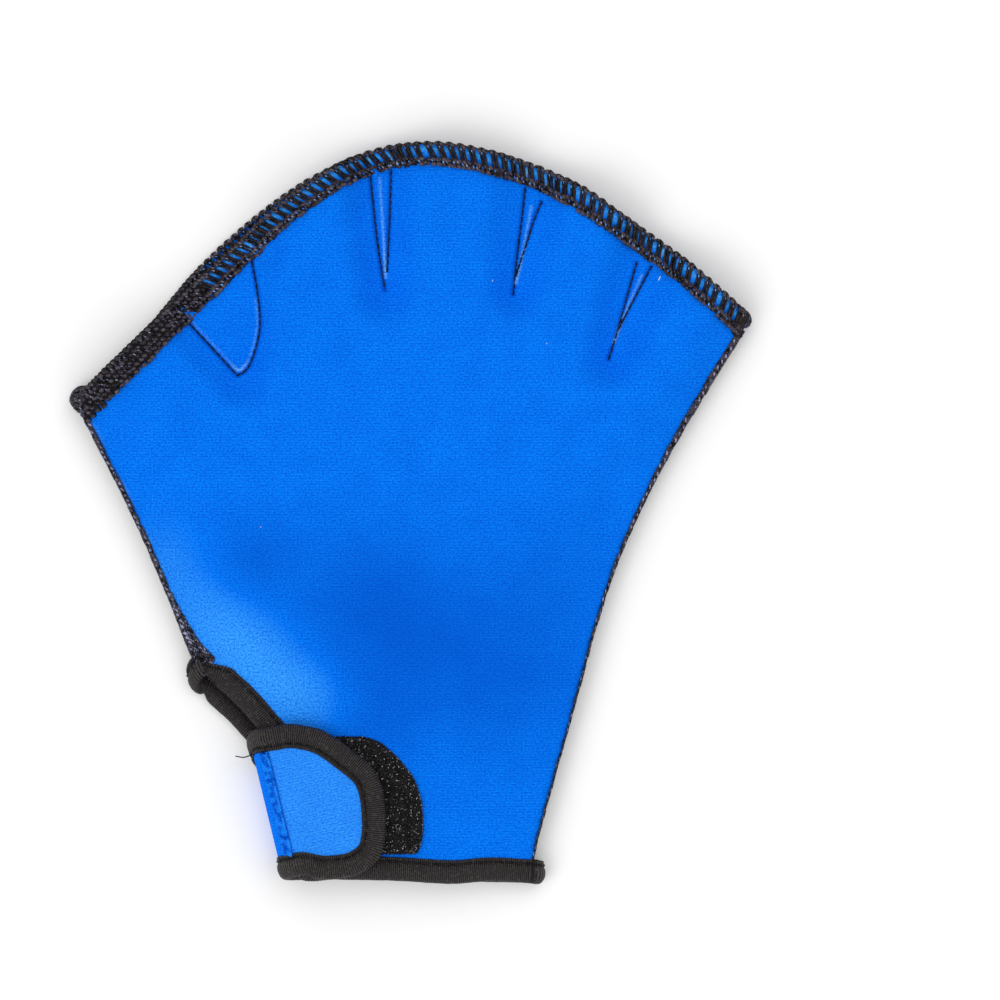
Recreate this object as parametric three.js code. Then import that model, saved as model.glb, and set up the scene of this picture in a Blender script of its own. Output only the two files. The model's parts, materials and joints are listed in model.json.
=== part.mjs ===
import * as THREE from 'three';

// Flat size of the cloth panels, in millimetres
const panelWidth = 191;
const panelLength = 208.5;

// Thickness of each layer
const panelThickness = 2;
const trimThickness = 0.5;
const loopThickness = 0.9;
const hookThickness = 0.7;

// Clearances between neighbouring layers
const sewnGap = 0.2;
const layerGap = 0.3;
const endGap = 0.5;

// Widths of the sewn edges
const fingerBandWidth = 6.5;
const bindingWidth = 6;
const thumbSeamWidth = 3;
const outerSeamWidth = 2.4;
const strapSeamWidth = 3.2;
const strapSeamThickness = 0.4;
const trimChamfer = 0.5;

// Room left inside for the hand, above the closed edges
const wristRoom = 4.1;
const palmRoom = 7;
const mouthRoom = 5.6;
const palmReach = 26;
const mouthReach = 12;
const webReach = 11;
const wristRoomShare = 0.24;
const palmRoomShare = 0.5;
const mouthRoomShare = 0.84;
const restReach = 8;

// Radius of the cloth at the inner end of the wrist notch
const notchRadius = 1.5;

// Heights of the layers, from the ground up
const trimDepth = sewnGap + trimThickness;
const closedGap = 2 * trimDepth + layerGap;
const lowerMiddle = trimDepth + panelThickness / 2;
const upperBase = trimDepth + 1.5 * panelThickness + closedGap;
const wristTop = upperBase + wristRoom + panelThickness / 2;
const loopBottom = wristTop + sewnGap;
const hookBottom = loopBottom + loopThickness + sewnGap;
const strapMiddle = hookBottom + hookThickness + sewnGap + panelThickness / 2;
const foldRadius = (strapMiddle - lowerMiddle) / 2;
const foldLength = Math.PI * foldRadius;

// The curved finger edge from thumb corner to outer corner;
// peek is how far the lower panel stands out past the upper one
const fingerEdge = [
  { across: 0, along: 0.652, peek: 0 },
  { across: 0.0966, along: 0.738, peek: 0 },
  { across: 0.2036, along: 0.833, peek: 0.013 },
  { across: 0.3165, along: 0.926, peek: 0.008 },
  { across: 0.422, along: 0.9843, peek: 0 },
  { across: 0.5245, along: 1, peek: 0 },
  { across: 0.627, along: 0.985, peek: 0 },
  { across: 0.7325, along: 0.9489, peek: 0 },
  { across: 0.8276, along: 0.8904, peek: 0 },
  { across: 0.9034, along: 0.8414, peek: 0 },
  { across: 1, along: 0.7638, peek: 0 },
];

// Finger mouths and the sewn webs between them, as shares of the finger edge
const mouths = [
  { finger: 'thumb', starts: 0, ends: 0.1593, strips: 5 },
  { finger: 'index', starts: 0.2888, ends: 0.4688, strips: 5 },
  { finger: 'middle', starts: 0.4971, ends: 0.6654, strips: 5 },
  { finger: 'ring', starts: 0.6982, ends: 0.8322, strips: 4 },
  { finger: 'little', starts: 0.8645, ends: 1, strips: 5 },
];
const webStrips = [4, 2, 2, 2];

// Webs sewn flat between the fingers; wide is the half width at the finger edge
const webs = [
  { between: 'thumb and index', fromX: 0.198, fromY: 0.825, tipX: 0.2466, tipY: 0.6875, wide: 0.076 },
  { between: 'index and middle', fromX: 0.4495, fromY: 0.99, tipX: 0.4577, tipY: 0.8005, wide: 0.016 },
  { between: 'middle and ring', fromX: 0.6835, fromY: 0.9646, tipX: 0.6523, tipY: 0.8005, wide: 0.019 },
  { between: 'ring and little', fromX: 0.8566, fromY: 0.8686, tipX: 0.7949, tipY: 0.7107, wide: 0.019 },
];

// Outer side from the outer corner down to the wrist
const outerEdge = [
  { across: 1, along: 0.7638 },
  { across: 0.9465, along: 0.6862 },
  { across: 0.8722, along: 0.5691 },
  { across: 0.8113, along: 0.452 },
  { across: 0.7741, along: 0.354 },
  { across: 0.7385, along: 0.2342 },
  { across: 0.7043, along: 0.1225 },
  { across: 0.683, along: 0.049 },
  { across: 0.674, along: 0 },
];

// Thumb side from the thumb corner down to the wrist notch
const thumbEdge = [
  { across: 0, along: 0.652 },
  { across: 0.0951, along: 0.4765 },
  { across: 0.1728, along: 0.3063 },
];
const upperNotchStart = { across: 0.1902, along: 0.2818 };
const lowerNotchStart = { across: 0.1872, along: 0.2573 };

// Edge of the upper panel along the notch, then down its slit
const upperNotch = [
  upperNotchStart,
  { across: 0.24, along: 0.2425 },
  { across: 0.281, along: 0.2 },
];
const slitEnd = { across: 0.3362, along: 0.0068 };

// Edge of the lower panel along the notch, up to the fold of the strap
const lowerNotch = [
  lowerNotchStart,
  { across: 0.2021, along: 0.241 },
  { across: 0.2288, along: 0.2192 },
  { across: 0.2526, along: 0.1954 },
  { across: 0.2689, along: 0.1852 },
];

// Line on which the lower panel folds up and over into the strap
const foldTop = { across: 0.3001, along: 0.1729 };
const foldEnd = { across: 0.3447, along: 0.0041 };

// Upper and lower edges of the neck of the strap round the fold:
// round is the share of the bend, rise and drop are shares of the fold line
const neckEdges = [
  { round: 0, rise: 0, drop: 0 },
  { round: 1 / 6, rise: 0.024, drop: 0.018 },
  { round: 2 / 6, rise: 0.06, drop: 0.034 },
  { round: 3 / 6, rise: 0.17, drop: 0.048 },
  { round: 4 / 6, rise: 0.21, drop: 0.056 },
  { round: 5 / 6, rise: 0.21, drop: 0.058 },
  { round: 1, rise: 0.2, drop: 0.052 },
];
const neckRows = 5;
const seamShare = 5 / 6;

// Outline of the strap where it lies on top, from the upper to the lower edge
const strapUpperEdge = [
  { across: 0.309, along: 0.2108 },
  { across: 0.339, along: 0.2084 },
  { across: 0.3717, along: 0.1995 },
];
const strapTip = [
  { across: 0.4044, along: 0.1784 },
  { across: 0.4253, along: 0.1635 },
  { across: 0.4424, along: 0.1471 },
  { across: 0.4513, along: 0.124 },
  { across: 0.4557, along: 0.094 },
  { across: 0.455, along: 0.0572 },
  { across: 0.4431, along: 0.0286 },
  { across: 0.4116, along: 0.0116 },
];
const strapLowerEdge = [
  { across: 0.3596, along: 0.0075 },
  { across: 0.3878, along: 0.0078 },
];

// Wrist edges of both panels, from the strap to the outer corner
const upperWrist = [
  slitEnd,
  { across: 0.42, along: 0.0055 },
  { across: 0.48, along: 0.004 },
  { across: 0.557, along: 0 },
  { across: 0.614, along: 0.0034 },
  { across: 0.674, along: 0 },
];
const lowerWrist = [
  foldEnd,
  { across: 0.45, along: 0.0048 },
  { across: 0.557, along: 0.002 },
  { across: 0.674, along: 0 },
];

// Rounded outer edge of the pile patch on the upper panel, down to its lower corner
const loopEdge = [
  { across: 0.3909, along: 0.196 },
  { across: 0.4309, along: 0.196 },
  { across: 0.446, along: 0.1922 },
  { across: 0.4577, along: 0.1845 },
  { across: 0.4814, along: 0.162 },
  { across: 0.5022, along: 0.1409 },
  { across: 0.5101, along: 0.118 },
  { across: 0.514, along: 0.0948 },
  { across: 0.5156, along: 0.065 },
  { across: 0.5095, along: 0.045 },
];
const loopCorner = 0.5045;

// Rows of cloth down the hand and down the cuff, as shares of the way
const handShares = [0.1, 0.22, 0.35, 0.5, 0.66, 0.83];
const cuffShares = [0.25, 0.5, 0.75];
const cuffStarts = 0.765;
const notchStrips = 10;
const neckTurnStrips = 2;

const neoprene = new THREE.MeshStandardMaterial({ color: '#0a6ce0', roughness: 0.85, metalness: 0 });
const thread = new THREE.MeshStandardMaterial({ color: '#2b2523', roughness: 0.9, metalness: 0 });
const bindingTape = new THREE.MeshStandardMaterial({ color: '#33302e', roughness: 0.8, metalness: 0 });
const seamTape = new THREE.MeshStandardMaterial({ color: '#0a55b8', roughness: 0.85, metalness: 0 });
const loopPile = new THREE.MeshStandardMaterial({ color: '#24262b', roughness: 1, metalness: 0 });
const hookTape = new THREE.MeshStandardMaterial({ color: '#1d1e21', roughness: 0.7, metalness: 0 });

const clamp01 = (value) => Math.min(1, Math.max(0, value));
const ease = (value) => {
  const t = clamp01(value);
  return t * t * (3 - 2 * t);
};
const mix = (a, b, t) => a + (b - a) * t;
const onPlan = (row) => new THREE.Vector2(row.across * panelWidth, row.along * panelLength);
const onPlanAll = (rows) => rows.map(onPlan);
const between = (a, b, t) => a.clone().lerp(b, t);

function lengthOf(points) {
  let total = 0;
  for (let i = 1; i < points.length; i += 1) {
    total += points[i].distanceTo(points[i - 1]);
  }
  return total;
}

// Point at a distance along a chain of points
function walk(points, distance) {
  let left = distance;
  for (let i = 1; i < points.length; i += 1) {
    const step = points[i].distanceTo(points[i - 1]);
    if (left <= step || i === points.length - 1) {
      return between(points[i - 1], points[i], left / step);
    }
    left -= step;
  }
  return points[0].clone();
}

// A smooth curve through the points, as a fine chain of points
function smoothChain(points) {
  const curve = new THREE.SplineCurve(points);
  return curve.getPoints(16 * (points.length - 1));
}

// Distance from a point to a chain, as a plain number
function distanceToChain(point, chain) {
  let best = Infinity;
  for (let i = 1; i < chain.length; i += 1) {
    const side = chain[i].clone().sub(chain[i - 1]);
    const reach = point.clone().sub(chain[i - 1]).dot(side) / Math.max(side.lengthSq(), 1e-9);
    const nearest = chain[i - 1].clone().addScaledVector(side, clamp01(reach));
    best = Math.min(best, nearest.distanceTo(point));
  }
  return best;
}

// Mitred normals of a chain, to the left of its run when turn is 1
function mitredNormals(chain, turn) {
  return chain.map((point, i) => {
    const before = chain[Math.max(i - 1, 0)];
    const after = chain[Math.min(i + 1, chain.length - 1)];
    const first = (i > 0 ? point.clone().sub(before) : after.clone().sub(point)).normalize();
    const second = (i < chain.length - 1 ? after.clone().sub(point) : first.clone()).normalize();
    const sum = first.clone().add(second).normalize();
    const spread = Math.max(0.5, sum.dot(first));
    return new THREE.Vector2(-sum.y, sum.x).multiplyScalar(turn / spread);
  });
}

// Shape of the hand room between the two panels
const thumbChain = [...onPlanAll(thumbEdge), onPlan(upperNotchStart)];
const outerChain = smoothChain(onPlanAll(outerEdge));
const webAxes = webs.map((web) => ({
  from: onPlan({ across: web.fromX, along: web.fromY }),
  tip: onPlan({ across: web.tipX, along: web.tipY }),
  wide: web.wide * panelWidth,
}));

function roomAlong(y) {
  const share = y / panelLength;
  const toPalm = ease((share - wristRoomShare) / (palmRoomShare - wristRoomShare));
  const toMouth = ease((share - palmRoomShare) / (mouthRoomShare - palmRoomShare));
  return mix(mix(wristRoom, palmRoom, toPalm), mouthRoom, toMouth);
}

function roomAt(point) {
  const toMouth = ease((point.y / panelLength - 0.45) / 0.25);
  const reach = mix(palmReach, mouthReach, toMouth);
  let open = ease(distanceToChain(point, thumbChain) / reach);
  open *= ease(distanceToChain(point, outerChain) / reach);
  for (const web of webAxes) {
    const axis = web.tip.clone().sub(web.from);
    const share = clamp01(point.clone().sub(web.from).dot(axis) / axis.lengthSq());
    const nearest = web.from.clone().addScaledVector(axis, share);
    const away = nearest.distanceTo(point) - web.wide * (1 - share);
    open *= ease(away / webReach);
  }
  return roomAlong(point.y) * open;
}

// Positions in space of points on the upper panel, the lower panel and the folded strap
function placeUpper(point, height) {
  return new THREE.Vector3(point.x, point.y, upperBase + roomAt(point) + height);
}

const foldStart = onPlan(foldTop);
const foldDown = onPlan(foldEnd).sub(foldStart);
const foldLine = foldDown.length();
foldDown.normalize();
const foldAway = new THREE.Vector2(foldDown.y, -foldDown.x);

function placeFolded(point, height) {
  const along = foldStart.clone().addScaledVector(foldDown, point.y);
  const turned = clamp01(point.x / foldLength) * Math.PI;
  const radius = foldRadius - height;
  const flat = Math.min(point.x, 0) - Math.max(point.x - foldLength, 0);
  along.addScaledVector(foldAway, flat + radius * Math.sin(turned));
  const level = lowerMiddle + foldRadius - radius * Math.cos(turned);
  return new THREE.Vector3(along.x, along.y, level);
}

// Place on the unfolded strap of a point seen on its top side
function unfold(point) {
  const offset = point.clone().sub(foldStart);
  return new THREE.Vector2(foldLength - offset.dot(foldAway), offset.dot(foldDown));
}

// Grid of points between four edges, with a line of points at the inner side of
// every edge trim; across and down are the shares of the points in between
function panelGrid(top, bottom, left, right, widths, across, down) {
  const columns = top.length - 1;
  const rows = left.length - 1;
  const topIn = mitredNormals(top, -1);
  const bottomIn = mitredNormals(bottom, 1);
  const leftIn = mitredNormals(left, 1);
  const rightIn = mitredNormals(right, -1);
  const grid = top.map((point, i) => {
    const column = new Array(rows + 1);
    column[0] = point;
    column[rows] = bottom[i];
    column[1] = point.clone().addScaledVector(topIn[i], widths.top);
    column[rows - 1] = bottom[i].clone().addScaledVector(bottomIn[i], widths.bottom);
    return column;
  });
  for (let j = 1; j < rows; j += 1) {
    grid[0][j] = left[j];
    grid[columns][j] = right[j];
    grid[1][j] = left[j].clone().addScaledVector(leftIn[j], widths.left);
    grid[columns - 1][j] = right[j].clone().addScaledVector(rightIn[j], widths.right);
  }
  const corners = [
    [0, 1, 0, 1],
    [columns, columns - 1, 0, 1],
    [0, 1, rows, rows - 1],
    [columns, columns - 1, rows, rows - 1],
  ];
  for (const [edge, inner, end, next] of corners) {
    const sum = grid[inner][end].clone().add(grid[edge][next]);
    grid[inner][next] = sum.sub(grid[edge][end]);
  }
  const first = grid[1];
  const last = grid[columns - 1];
  for (let i = 2; i < columns - 1; i += 1) {
    const u = across[i];
    for (let j = 2; j < rows - 1; j += 1) {
      const v = down[j - 2];
      const point = grid[i][1].clone().multiplyScalar(1 - v);
      point.addScaledVector(grid[i][rows - 1], v);
      point.addScaledVector(first[j], 1 - u).addScaledVector(last[j], u);
      point.addScaledVector(first[1], -(1 - u) * (1 - v)).addScaledVector(last[1], -u * (1 - v));
      point.addScaledVector(first[rows - 1], -(1 - u) * v).addScaledVector(last[rows - 1], -u * v);
      grid[i][j] = point;
    }
  }
  return grid;
}

// A closed body from points and triangles, turned so that it faces out
function closedBody(name, points, triangles, material) {
  let volume = 0;
  for (const [a, b, c] of triangles) {
    volume += points[a].dot(points[b].clone().cross(points[c]));
  }
  const faces = volume < 0 ? triangles.map(([a, b, c]) => [a, c, b]) : triangles;
  const geometry = new THREE.BufferGeometry();
  const flat = points.flatMap((point) => [point.x, point.y, point.z]);
  geometry.setAttribute('position', new THREE.Float32BufferAttribute(flat, 3));
  geometry.setIndex(faces.flat());
  geometry.computeVertexNormals();
  const mesh = new THREE.Mesh(geometry, material);
  mesh.name = name;
  return mesh;
}

// Cloth of even thickness over one or more grids of points that share their seams
function clothBody(name, patches, thickness, material) {
  const points = [];
  const found = new Map();
  const triangles = [];
  const edges = new Map();
  const keyOf = (point) => [point.x, point.y, point.z].map((value) => value.toFixed(3)).join();
  const add = (point, place) => {
    const top = place(point, thickness / 2);
    const key = keyOf(top);
    if (!found.has(key)) {
      found.set(key, points.length);
      points.push(top, place(point, -thickness / 2));
    }
    return found.get(key);
  };
  for (const { grid, place } of patches) {
    const ids = grid.map((column) => column.map((point) => add(point, place)));
    for (let i = 0; i < ids.length - 1; i += 1) {
      for (let j = 0; j < ids[i].length - 1; j += 1) {
        const ring = [ids[i][j], ids[i][j + 1], ids[i + 1][j + 1], ids[i + 1][j]];
        triangles.push([ring[0], ring[1], ring[2]], [ring[0], ring[2], ring[3]]);
        triangles.push([ring[0] + 1, ring[2] + 1, ring[1] + 1]);
        triangles.push([ring[0] + 1, ring[3] + 1, ring[2] + 1]);
        ring.forEach((from, k) => {
          edges.set(`${from},${ring[(k + 1) % 4]}`, [from, ring[(k + 1) % 4]]);
        });
      }
    }
  }
  for (const [from, to] of edges.values()) {
    if (!edges.has(`${to},${from}`)) {
      triangles.push([from, from + 1, to + 1], [from, to + 1, to]);
    }
  }
  return closedBody(name, points, triangles, material);
}

// Outline of a folded trim round an edge: inset from the edge and height from the middle
function trimProfile(width, halfThickness) {
  const over = halfThickness + trimDepth;
  const under = halfThickness + sewnGap;
  const bevel = trimChamfer;
  const outside = [
    [width, over],
    [0, over],
    [-trimDepth, over - bevel],
    [-trimDepth, bevel - over],
    [0, -over],
    [width, -over],
  ];
  const inside = [
    [width, under],
    [0, under],
    [-sewnGap, under],
    [-sewnGap, -under],
    [0, -under],
    [width, -under],
  ];
  return [...outside, ...inside.reverse()];
}

// A trim swept through stations; each station turns inset and height into a point
function trimBody(name, stations, profile, closed, material) {
  const sections = stations.map((station) => profile.map(([inset, height]) => station(inset, height)));
  return sweptBody(name, sections, profile, closed, material);
}

function sweptBody(name, sections, profile, closed, material) {
  const size = profile.length;
  const triangles = [];
  const count = closed ? sections.length : sections.length - 1;
  for (let i = 0; i < count; i += 1) {
    const here = i * size;
    const next = ((i + 1) % sections.length) * size;
    for (let k = 0; k < size; k += 1) {
      const k2 = (k + 1) % size;
      if (profile[k][0] > profile[k2][0]) {
        triangles.push([here + k, here + k2, next + k], [here + k2, next + k2, next + k]);
      } else {
        triangles.push([here + k, here + k2, next + k2], [here + k, next + k2, next + k]);
      }
    }
  }
  if (!closed) {
    const end = (sections.length - 1) * size;
    for (let k = 0; k < size / 2 - 1; k += 1) {
      const inner = size - 1 - k;
      triangles.push([k, inner, inner - 1], [k, inner - 1, k + 1]);
      triangles.push([end + k, end + k + 1, end + inner - 1], [end + k, end + inner - 1, end + inner]);
    }
  }
  return closedBody(name, sections.flat(), triangles, material);
}

// A flat patch with the given outline
function patchBody(name, outline, bottom, thickness, material) {
  const shape = new THREE.Shape(outline);
  const geometry = new THREE.ExtrudeGeometry(shape, { depth: thickness, bevelEnabled: false });
  geometry.translate(0, 0, bottom);
  const mesh = new THREE.Mesh(geometry, material);
  mesh.name = name;
  return mesh;
}

// Stations along the finger edge
const fingerUpper = smoothChain(onPlanAll(fingerEdge));
const fingerUpperLength = lengthOf(fingerUpper);
const columnShares = [0, thumbSeamWidth / fingerUpperLength];
mouths.forEach((mouth, index) => {
  const wide = mouth.ends - mouth.starts;
  for (let k = 1; k <= mouth.strips; k += 1) {
    columnShares.push(mouth.starts + (wide * k) / mouth.strips);
  }
  if (index < mouths.length - 1) {
    const web = mouths[index + 1].starts - mouth.ends;
    for (let k = 1; k <= webStrips[index]; k += 1) {
      columnShares.push(mouth.ends + (web * k) / webStrips[index]);
    }
  }
});
columnShares.splice(columnShares.length - 1, 0, 1 - outerSeamWidth / fingerUpperLength);
const columns = columnShares.length - 1;

const fingerLower = smoothChain(
  fingerEdge.map((row, i) => {
    const out = mitredNormals(onPlanAll(fingerEdge), 1)[i];
    return onPlan(row).addScaledVector(out, row.peek * panelWidth);
  }),
);
const alongFinger = (chain) => columnShares.map((share) => walk(chain, share * lengthOf(chain)));

// Stations down a side, with one at the inner line of the trim at each end
function sideStations(chain, first, last, shares) {
  const total = lengthOf(chain);
  const span = total - first - last;
  const middle = shares.map((share) => walk(chain, first + share * span));
  return [chain[0], walk(chain, first), ...middle, walk(chain, total - last), chain[chain.length - 1]];
}

// Stations across a panel: one at the inner line of the trim at each end, even between
function crossStations(chain, count) {
  const total = lengthOf(chain);
  const end = total - outerSeamWidth;
  const list = [chain[0]];
  for (let k = 0; k < count - 1; k += 1) {
    list.push(walk(chain, mix(bindingWidth, end, k / (count - 2))));
  }
  return [...list, chain[chain.length - 1]];
}

// Stations along a notch, the first at the inner line of the side seam
function notchStations(chain, count) {
  const total = lengthOf(chain);
  const list = [chain[0], walk(chain, thumbSeamWidth)];
  for (let k = 2; k <= count; k += 1) {
    list.push(walk(chain, (total * k) / count));
  }
  return list;
}

const shareList = (count) => Array.from({ length: count + 1 }, (_, k) => k / count);

// Outer side of both panels: along the hand, then along the cuff
const cuffDistance = cuffStarts * lengthOf(outerChain);
const cuffCorner = walk(outerChain, cuffDistance);
const handChain = [...outerChain.filter((point) => point.y > cuffCorner.y), cuffCorner];
const cuffChain = [cuffCorner, ...outerChain.filter((point) => point.y < cuffCorner.y)];
const handSide = sideStations(handChain, fingerBandWidth, bindingWidth, handShares);
const cuffSide = sideStations(cuffChain, bindingWidth, bindingWidth, cuffShares);
const outerSide = [...handSide, ...cuffSide.slice(1)];
const handRows = handSide.length - 1;
const cuffRows = cuffSide.length - 1;
const handWidths = {
  top: fingerBandWidth,
  bottom: bindingWidth,
  left: thumbSeamWidth,
  right: outerSeamWidth,
};
const cuffWidths = {
  top: bindingWidth,
  bottom: bindingWidth,
  left: bindingWidth,
  right: outerSeamWidth,
};

// Upper panel: the hand down to the notch, and the cuff beside its slit
const upperThumbChain = [...smoothChain(onPlanAll(thumbEdge)), onPlan(upperNotchStart)];
const upperThumbSide = sideStations(upperThumbChain, fingerBandWidth, bindingWidth, handShares);
const slitChain = [onPlan(upperNotch[upperNotch.length - 1]), onPlan(slitEnd)];
const upperNotchPoints = notchStations(smoothChain(onPlanAll(upperNotch)), notchStrips);
const upperCross = crossStations([slitChain[0], cuffCorner], columns - notchStrips);
const upperFingerPoints = alongFinger(fingerUpper);
const upperHand = panelGrid(
  upperFingerPoints,
  [...upperNotchPoints, ...upperCross.slice(1)],
  upperThumbSide,
  handSide,
  handWidths,
  columnShares,
  handShares,
);
const upperWristPoints = crossStations(smoothChain(onPlanAll(upperWrist)), columns - notchStrips);
const upperCuff = panelGrid(
  upperCross,
  upperWristPoints,
  sideStations(slitChain, bindingWidth, bindingWidth, cuffShares),
  cuffSide,
  cuffWidths,
  shareList(columns - notchStrips),
  cuffShares,
);
const upperPanel = clothBody(
  'upper_panel',
  [
    { grid: upperHand, place: placeUpper },
    { grid: upperCuff, place: placeUpper },
  ],
  panelThickness,
  neoprene,
);

// Lower panel: the hand down to the notch, the cuff beside the fold, and the
// neck of the strap round the fold
const lowerThumbSide = [...upperThumbSide.slice(0, -1), onPlan(lowerNotchStart)];
const turnCentre = foldStart.clone().addScaledVector(foldDown, -notchRadius);
const turnPoint = (share, radius) => {
  const angle = share * Math.PI;
  const point = turnCentre.clone().addScaledVector(foldDown, -radius * Math.cos(angle));
  return point.addScaledVector(foldAway, -radius * Math.sin(angle));
};
const lowerNotchStrips = notchStrips - neckTurnStrips;
const lowerNotchChain = smoothChain([...onPlanAll(lowerNotch), turnPoint(0, notchRadius)]);
const lowerNotchPoints = notchStations(lowerNotchChain, lowerNotchStrips);
const turnShares = shareList(neckTurnStrips).map((share) => share / 2);
const turnPoints = turnShares.map((share) => turnPoint(share, notchRadius));
const neckInner = turnPoints[neckTurnStrips];
const lowerCross = crossStations([neckInner, cuffCorner], columns - notchStrips);
const lowerFingerPoints = alongFinger(fingerLower);
const lowerHand = panelGrid(
  lowerFingerPoints,
  [...lowerNotchPoints, ...turnPoints.slice(1), ...lowerCross.slice(1)],
  lowerThumbSide,
  handSide,
  handWidths,
  columnShares,
  handShares,
);
const foldPoints = shareList(neckRows).map((share) => between(foldStart, onPlan(foldEnd), share));
const lowerWristPoints = crossStations(smoothChain(onPlanAll(lowerWrist)), columns - notchStrips);
const lowerCuff = panelGrid(
  lowerCross,
  lowerWristPoints,
  [neckInner, ...foldPoints],
  cuffSide,
  cuffWidths,
  shareList(columns - notchStrips),
  cuffShares,
);

// The middle of the lower panel rests on the ground; its edges stand on their trims
const lowerOutline = [
  ...lowerFingerPoints,
  ...outerSide.slice(1),
  ...lowerWristPoints.slice().reverse(),
  ...foldPoints.slice().reverse(),
  ...turnPoints.slice().reverse(),
  ...lowerNotchPoints.slice().reverse(),
  ...lowerThumbSide.slice().reverse(),
];
const flatEdge = Math.max(fingerBandWidth, bindingWidth) + endGap;
function placeLower(point, height) {
  const inside = distanceToChain(point, lowerOutline) - flatEdge;
  const settle = trimDepth * ease(inside / restReach);
  return new THREE.Vector3(point.x, point.y, lowerMiddle - settle + height);
}

function neckPoint(distance, share) {
  const round = distance / foldLength;
  const last = neckEdges.length - 1;
  const k = Math.min(last - 1, Math.floor(round * last));
  const part = round * last - k;
  const upper = -mix(neckEdges[k].rise, neckEdges[k + 1].rise, part) * foldLine;
  const lower = foldLine * (1 - mix(neckEdges[k].drop, neckEdges[k + 1].drop, part));
  return new THREE.Vector2(distance, mix(upper, lower, share));
}
const rowsDown = shareList(neckRows);
const seamHalfGap = layerGap / 2;
const seamMiddle = seamShare * foldLength;
const neckDistances = neckEdges
  .filter((row) => row.round < seamShare)
  .map((row) => row.round * foldLength);
neckDistances.push(seamMiddle - seamHalfGap);
const neckColumns = neckDistances.map((distance) => {
  return rowsDown.map((share) => neckPoint(distance, share));
});
const lowerPanel = clothBody(
  'lower_panel',
  [
    { grid: lowerHand, place: placeLower },
    { grid: lowerCuff, place: placeLower },
    { grid: neckColumns.slice().reverse(), place: placeFolded },
  ],
  panelThickness,
  neoprene,
);

// Strap: the last part of the bend, then the flat part out to its rounded end
const strapColumns = 5;
const strapRows = 10;
const strapShares = shareList(strapRows);
const strapRoot = strapShares.map((share) => neckPoint(seamMiddle + seamHalfGap, share));
const strapBend = strapShares.map((share) => neckPoint(foldLength, share));
const strapUpperChain = smoothChain([
  strapBend[0],
  ...onPlanAll([...strapUpperEdge, strapTip[0]]).map(unfold),
]);
const strapLowerChain = smoothChain([
  strapBend[strapRows],
  ...onPlanAll([...strapLowerEdge, strapTip[strapTip.length - 1]]).map(unfold),
]);
const strapTipChain = smoothChain(onPlanAll(strapTip).map(unfold));
const strapGrid = [];
for (let i = 0; i <= strapColumns; i += 1) {
  const u = i / strapColumns;
  const upper = walk(strapUpperChain, u * lengthOf(strapUpperChain));
  const lower = walk(strapLowerChain, u * lengthOf(strapLowerChain));
  const endUpper = strapTipChain[0];
  const endLower = strapTipChain[strapTipChain.length - 1];
  strapGrid.push(
    strapShares.map((v, j) => {
      const tip = walk(strapTipChain, v * lengthOf(strapTipChain));
      const point = between(upper, lower, v);
      point.add(between(strapBend[j], tip, u));
      const corner = between(
        between(strapBend[0], strapBend[strapRows], v),
        between(endUpper, endLower, v),
        u,
      );
      return point.sub(corner);
    }),
  );
}
const wristStrap = clothBody(
  'wrist_strap',
  [{ grid: [strapRoot, ...strapGrid].reverse(), place: placeFolded }],
  panelThickness,
  neoprene,
);

// Flat seam that joins the strap to the lower panel
const seamHalf = strapSeamWidth / 2;
const seamHeight = panelThickness / 2 + sewnGap + strapSeamThickness / 2;
const seamColumns = [seamHalf, seamHalfGap, -seamHalfGap, -seamHalf].map((offset) => {
  const upper = neckPoint(seamMiddle + offset, 0).y + bindingWidth + endGap;
  const lower = neckPoint(seamMiddle + offset, 1).y - bindingWidth - endGap;
  return rowsDown.map((share) => new THREE.Vector2(seamMiddle + offset, mix(upper, lower, share)));
});
const strapSeam = clothBody(
  'strap_seam',
  [{ grid: seamColumns, place: (point, height) => placeFolded(point, height - seamHeight) }],
  strapSeamThickness,
  seamTape,
);

// Overlocked finger edges, one round each panel. A station takes its inner line from
// the grid of the cloth, so that the trim follows the cloth exactly
function gridStation(point, inner, outward, width, place) {
  const inward = inner.clone().sub(point).divideScalar(width);
  return (inset, height) => {
    return place(point.clone().addScaledVector(inset > 0 ? inward : outward, inset), height);
  };
}
const edgeProfile = trimProfile(fingerBandWidth, panelThickness / 2);
function fingerBand(name, grid, points, place) {
  const normals = mitredNormals(points, -1);
  const stations = grid.map((column, i) => {
    return gridStation(column[0], column[1], normals[i], fingerBandWidth, place);
  });
  return trimBody(name, stations, edgeProfile, false, thread);
}
const upperBand = fingerBand('upper_finger_edge', upperHand, upperFingerPoints, placeUpper);
const lowerBand = fingerBand('lower_finger_edge', lowerHand, lowerFingerPoints, placeLower);

// Side seams, round the edges of both panels at once
function sideSeam(name, upperSide, lowerSide, turn, width) {
  const runs = [upperSide, lowerSide].map((side) => {
    const inner = side.slice(1, -1);
    const last = inner.length - 1;
    const clear = endGap / inner[0].distanceTo(inner[1]);
    const clearEnd = endGap / inner[last].distanceTo(inner[last - 1]);
    inner[0] = between(inner[0], inner[1], clear);
    inner[last] = between(inner[last], inner[last - 1], clearEnd);
    return inner;
  });
  const [upperIn, lowerIn] = runs.map((run) => mitredNormals(run, turn));
  const stations = runs[0].map((point, i) => (inset, height) => {
    if (height > 0) {
      return placeUpper(point.clone().addScaledVector(upperIn[i], inset), height);
    }
    return placeLower(runs[1][i].clone().addScaledVector(lowerIn[i], inset), height);
  });
  return trimBody(name, stations, trimProfile(width, panelThickness / 2), false, thread);
}
const thumbSeam = sideSeam('thumb_side_seam', upperThumbSide, upperThumbSide, 1, thumbSeamWidth);
const outerSeam = sideSeam('outer_side_seam', outerSide, outerSide, -1, outerSeamWidth);

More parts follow.
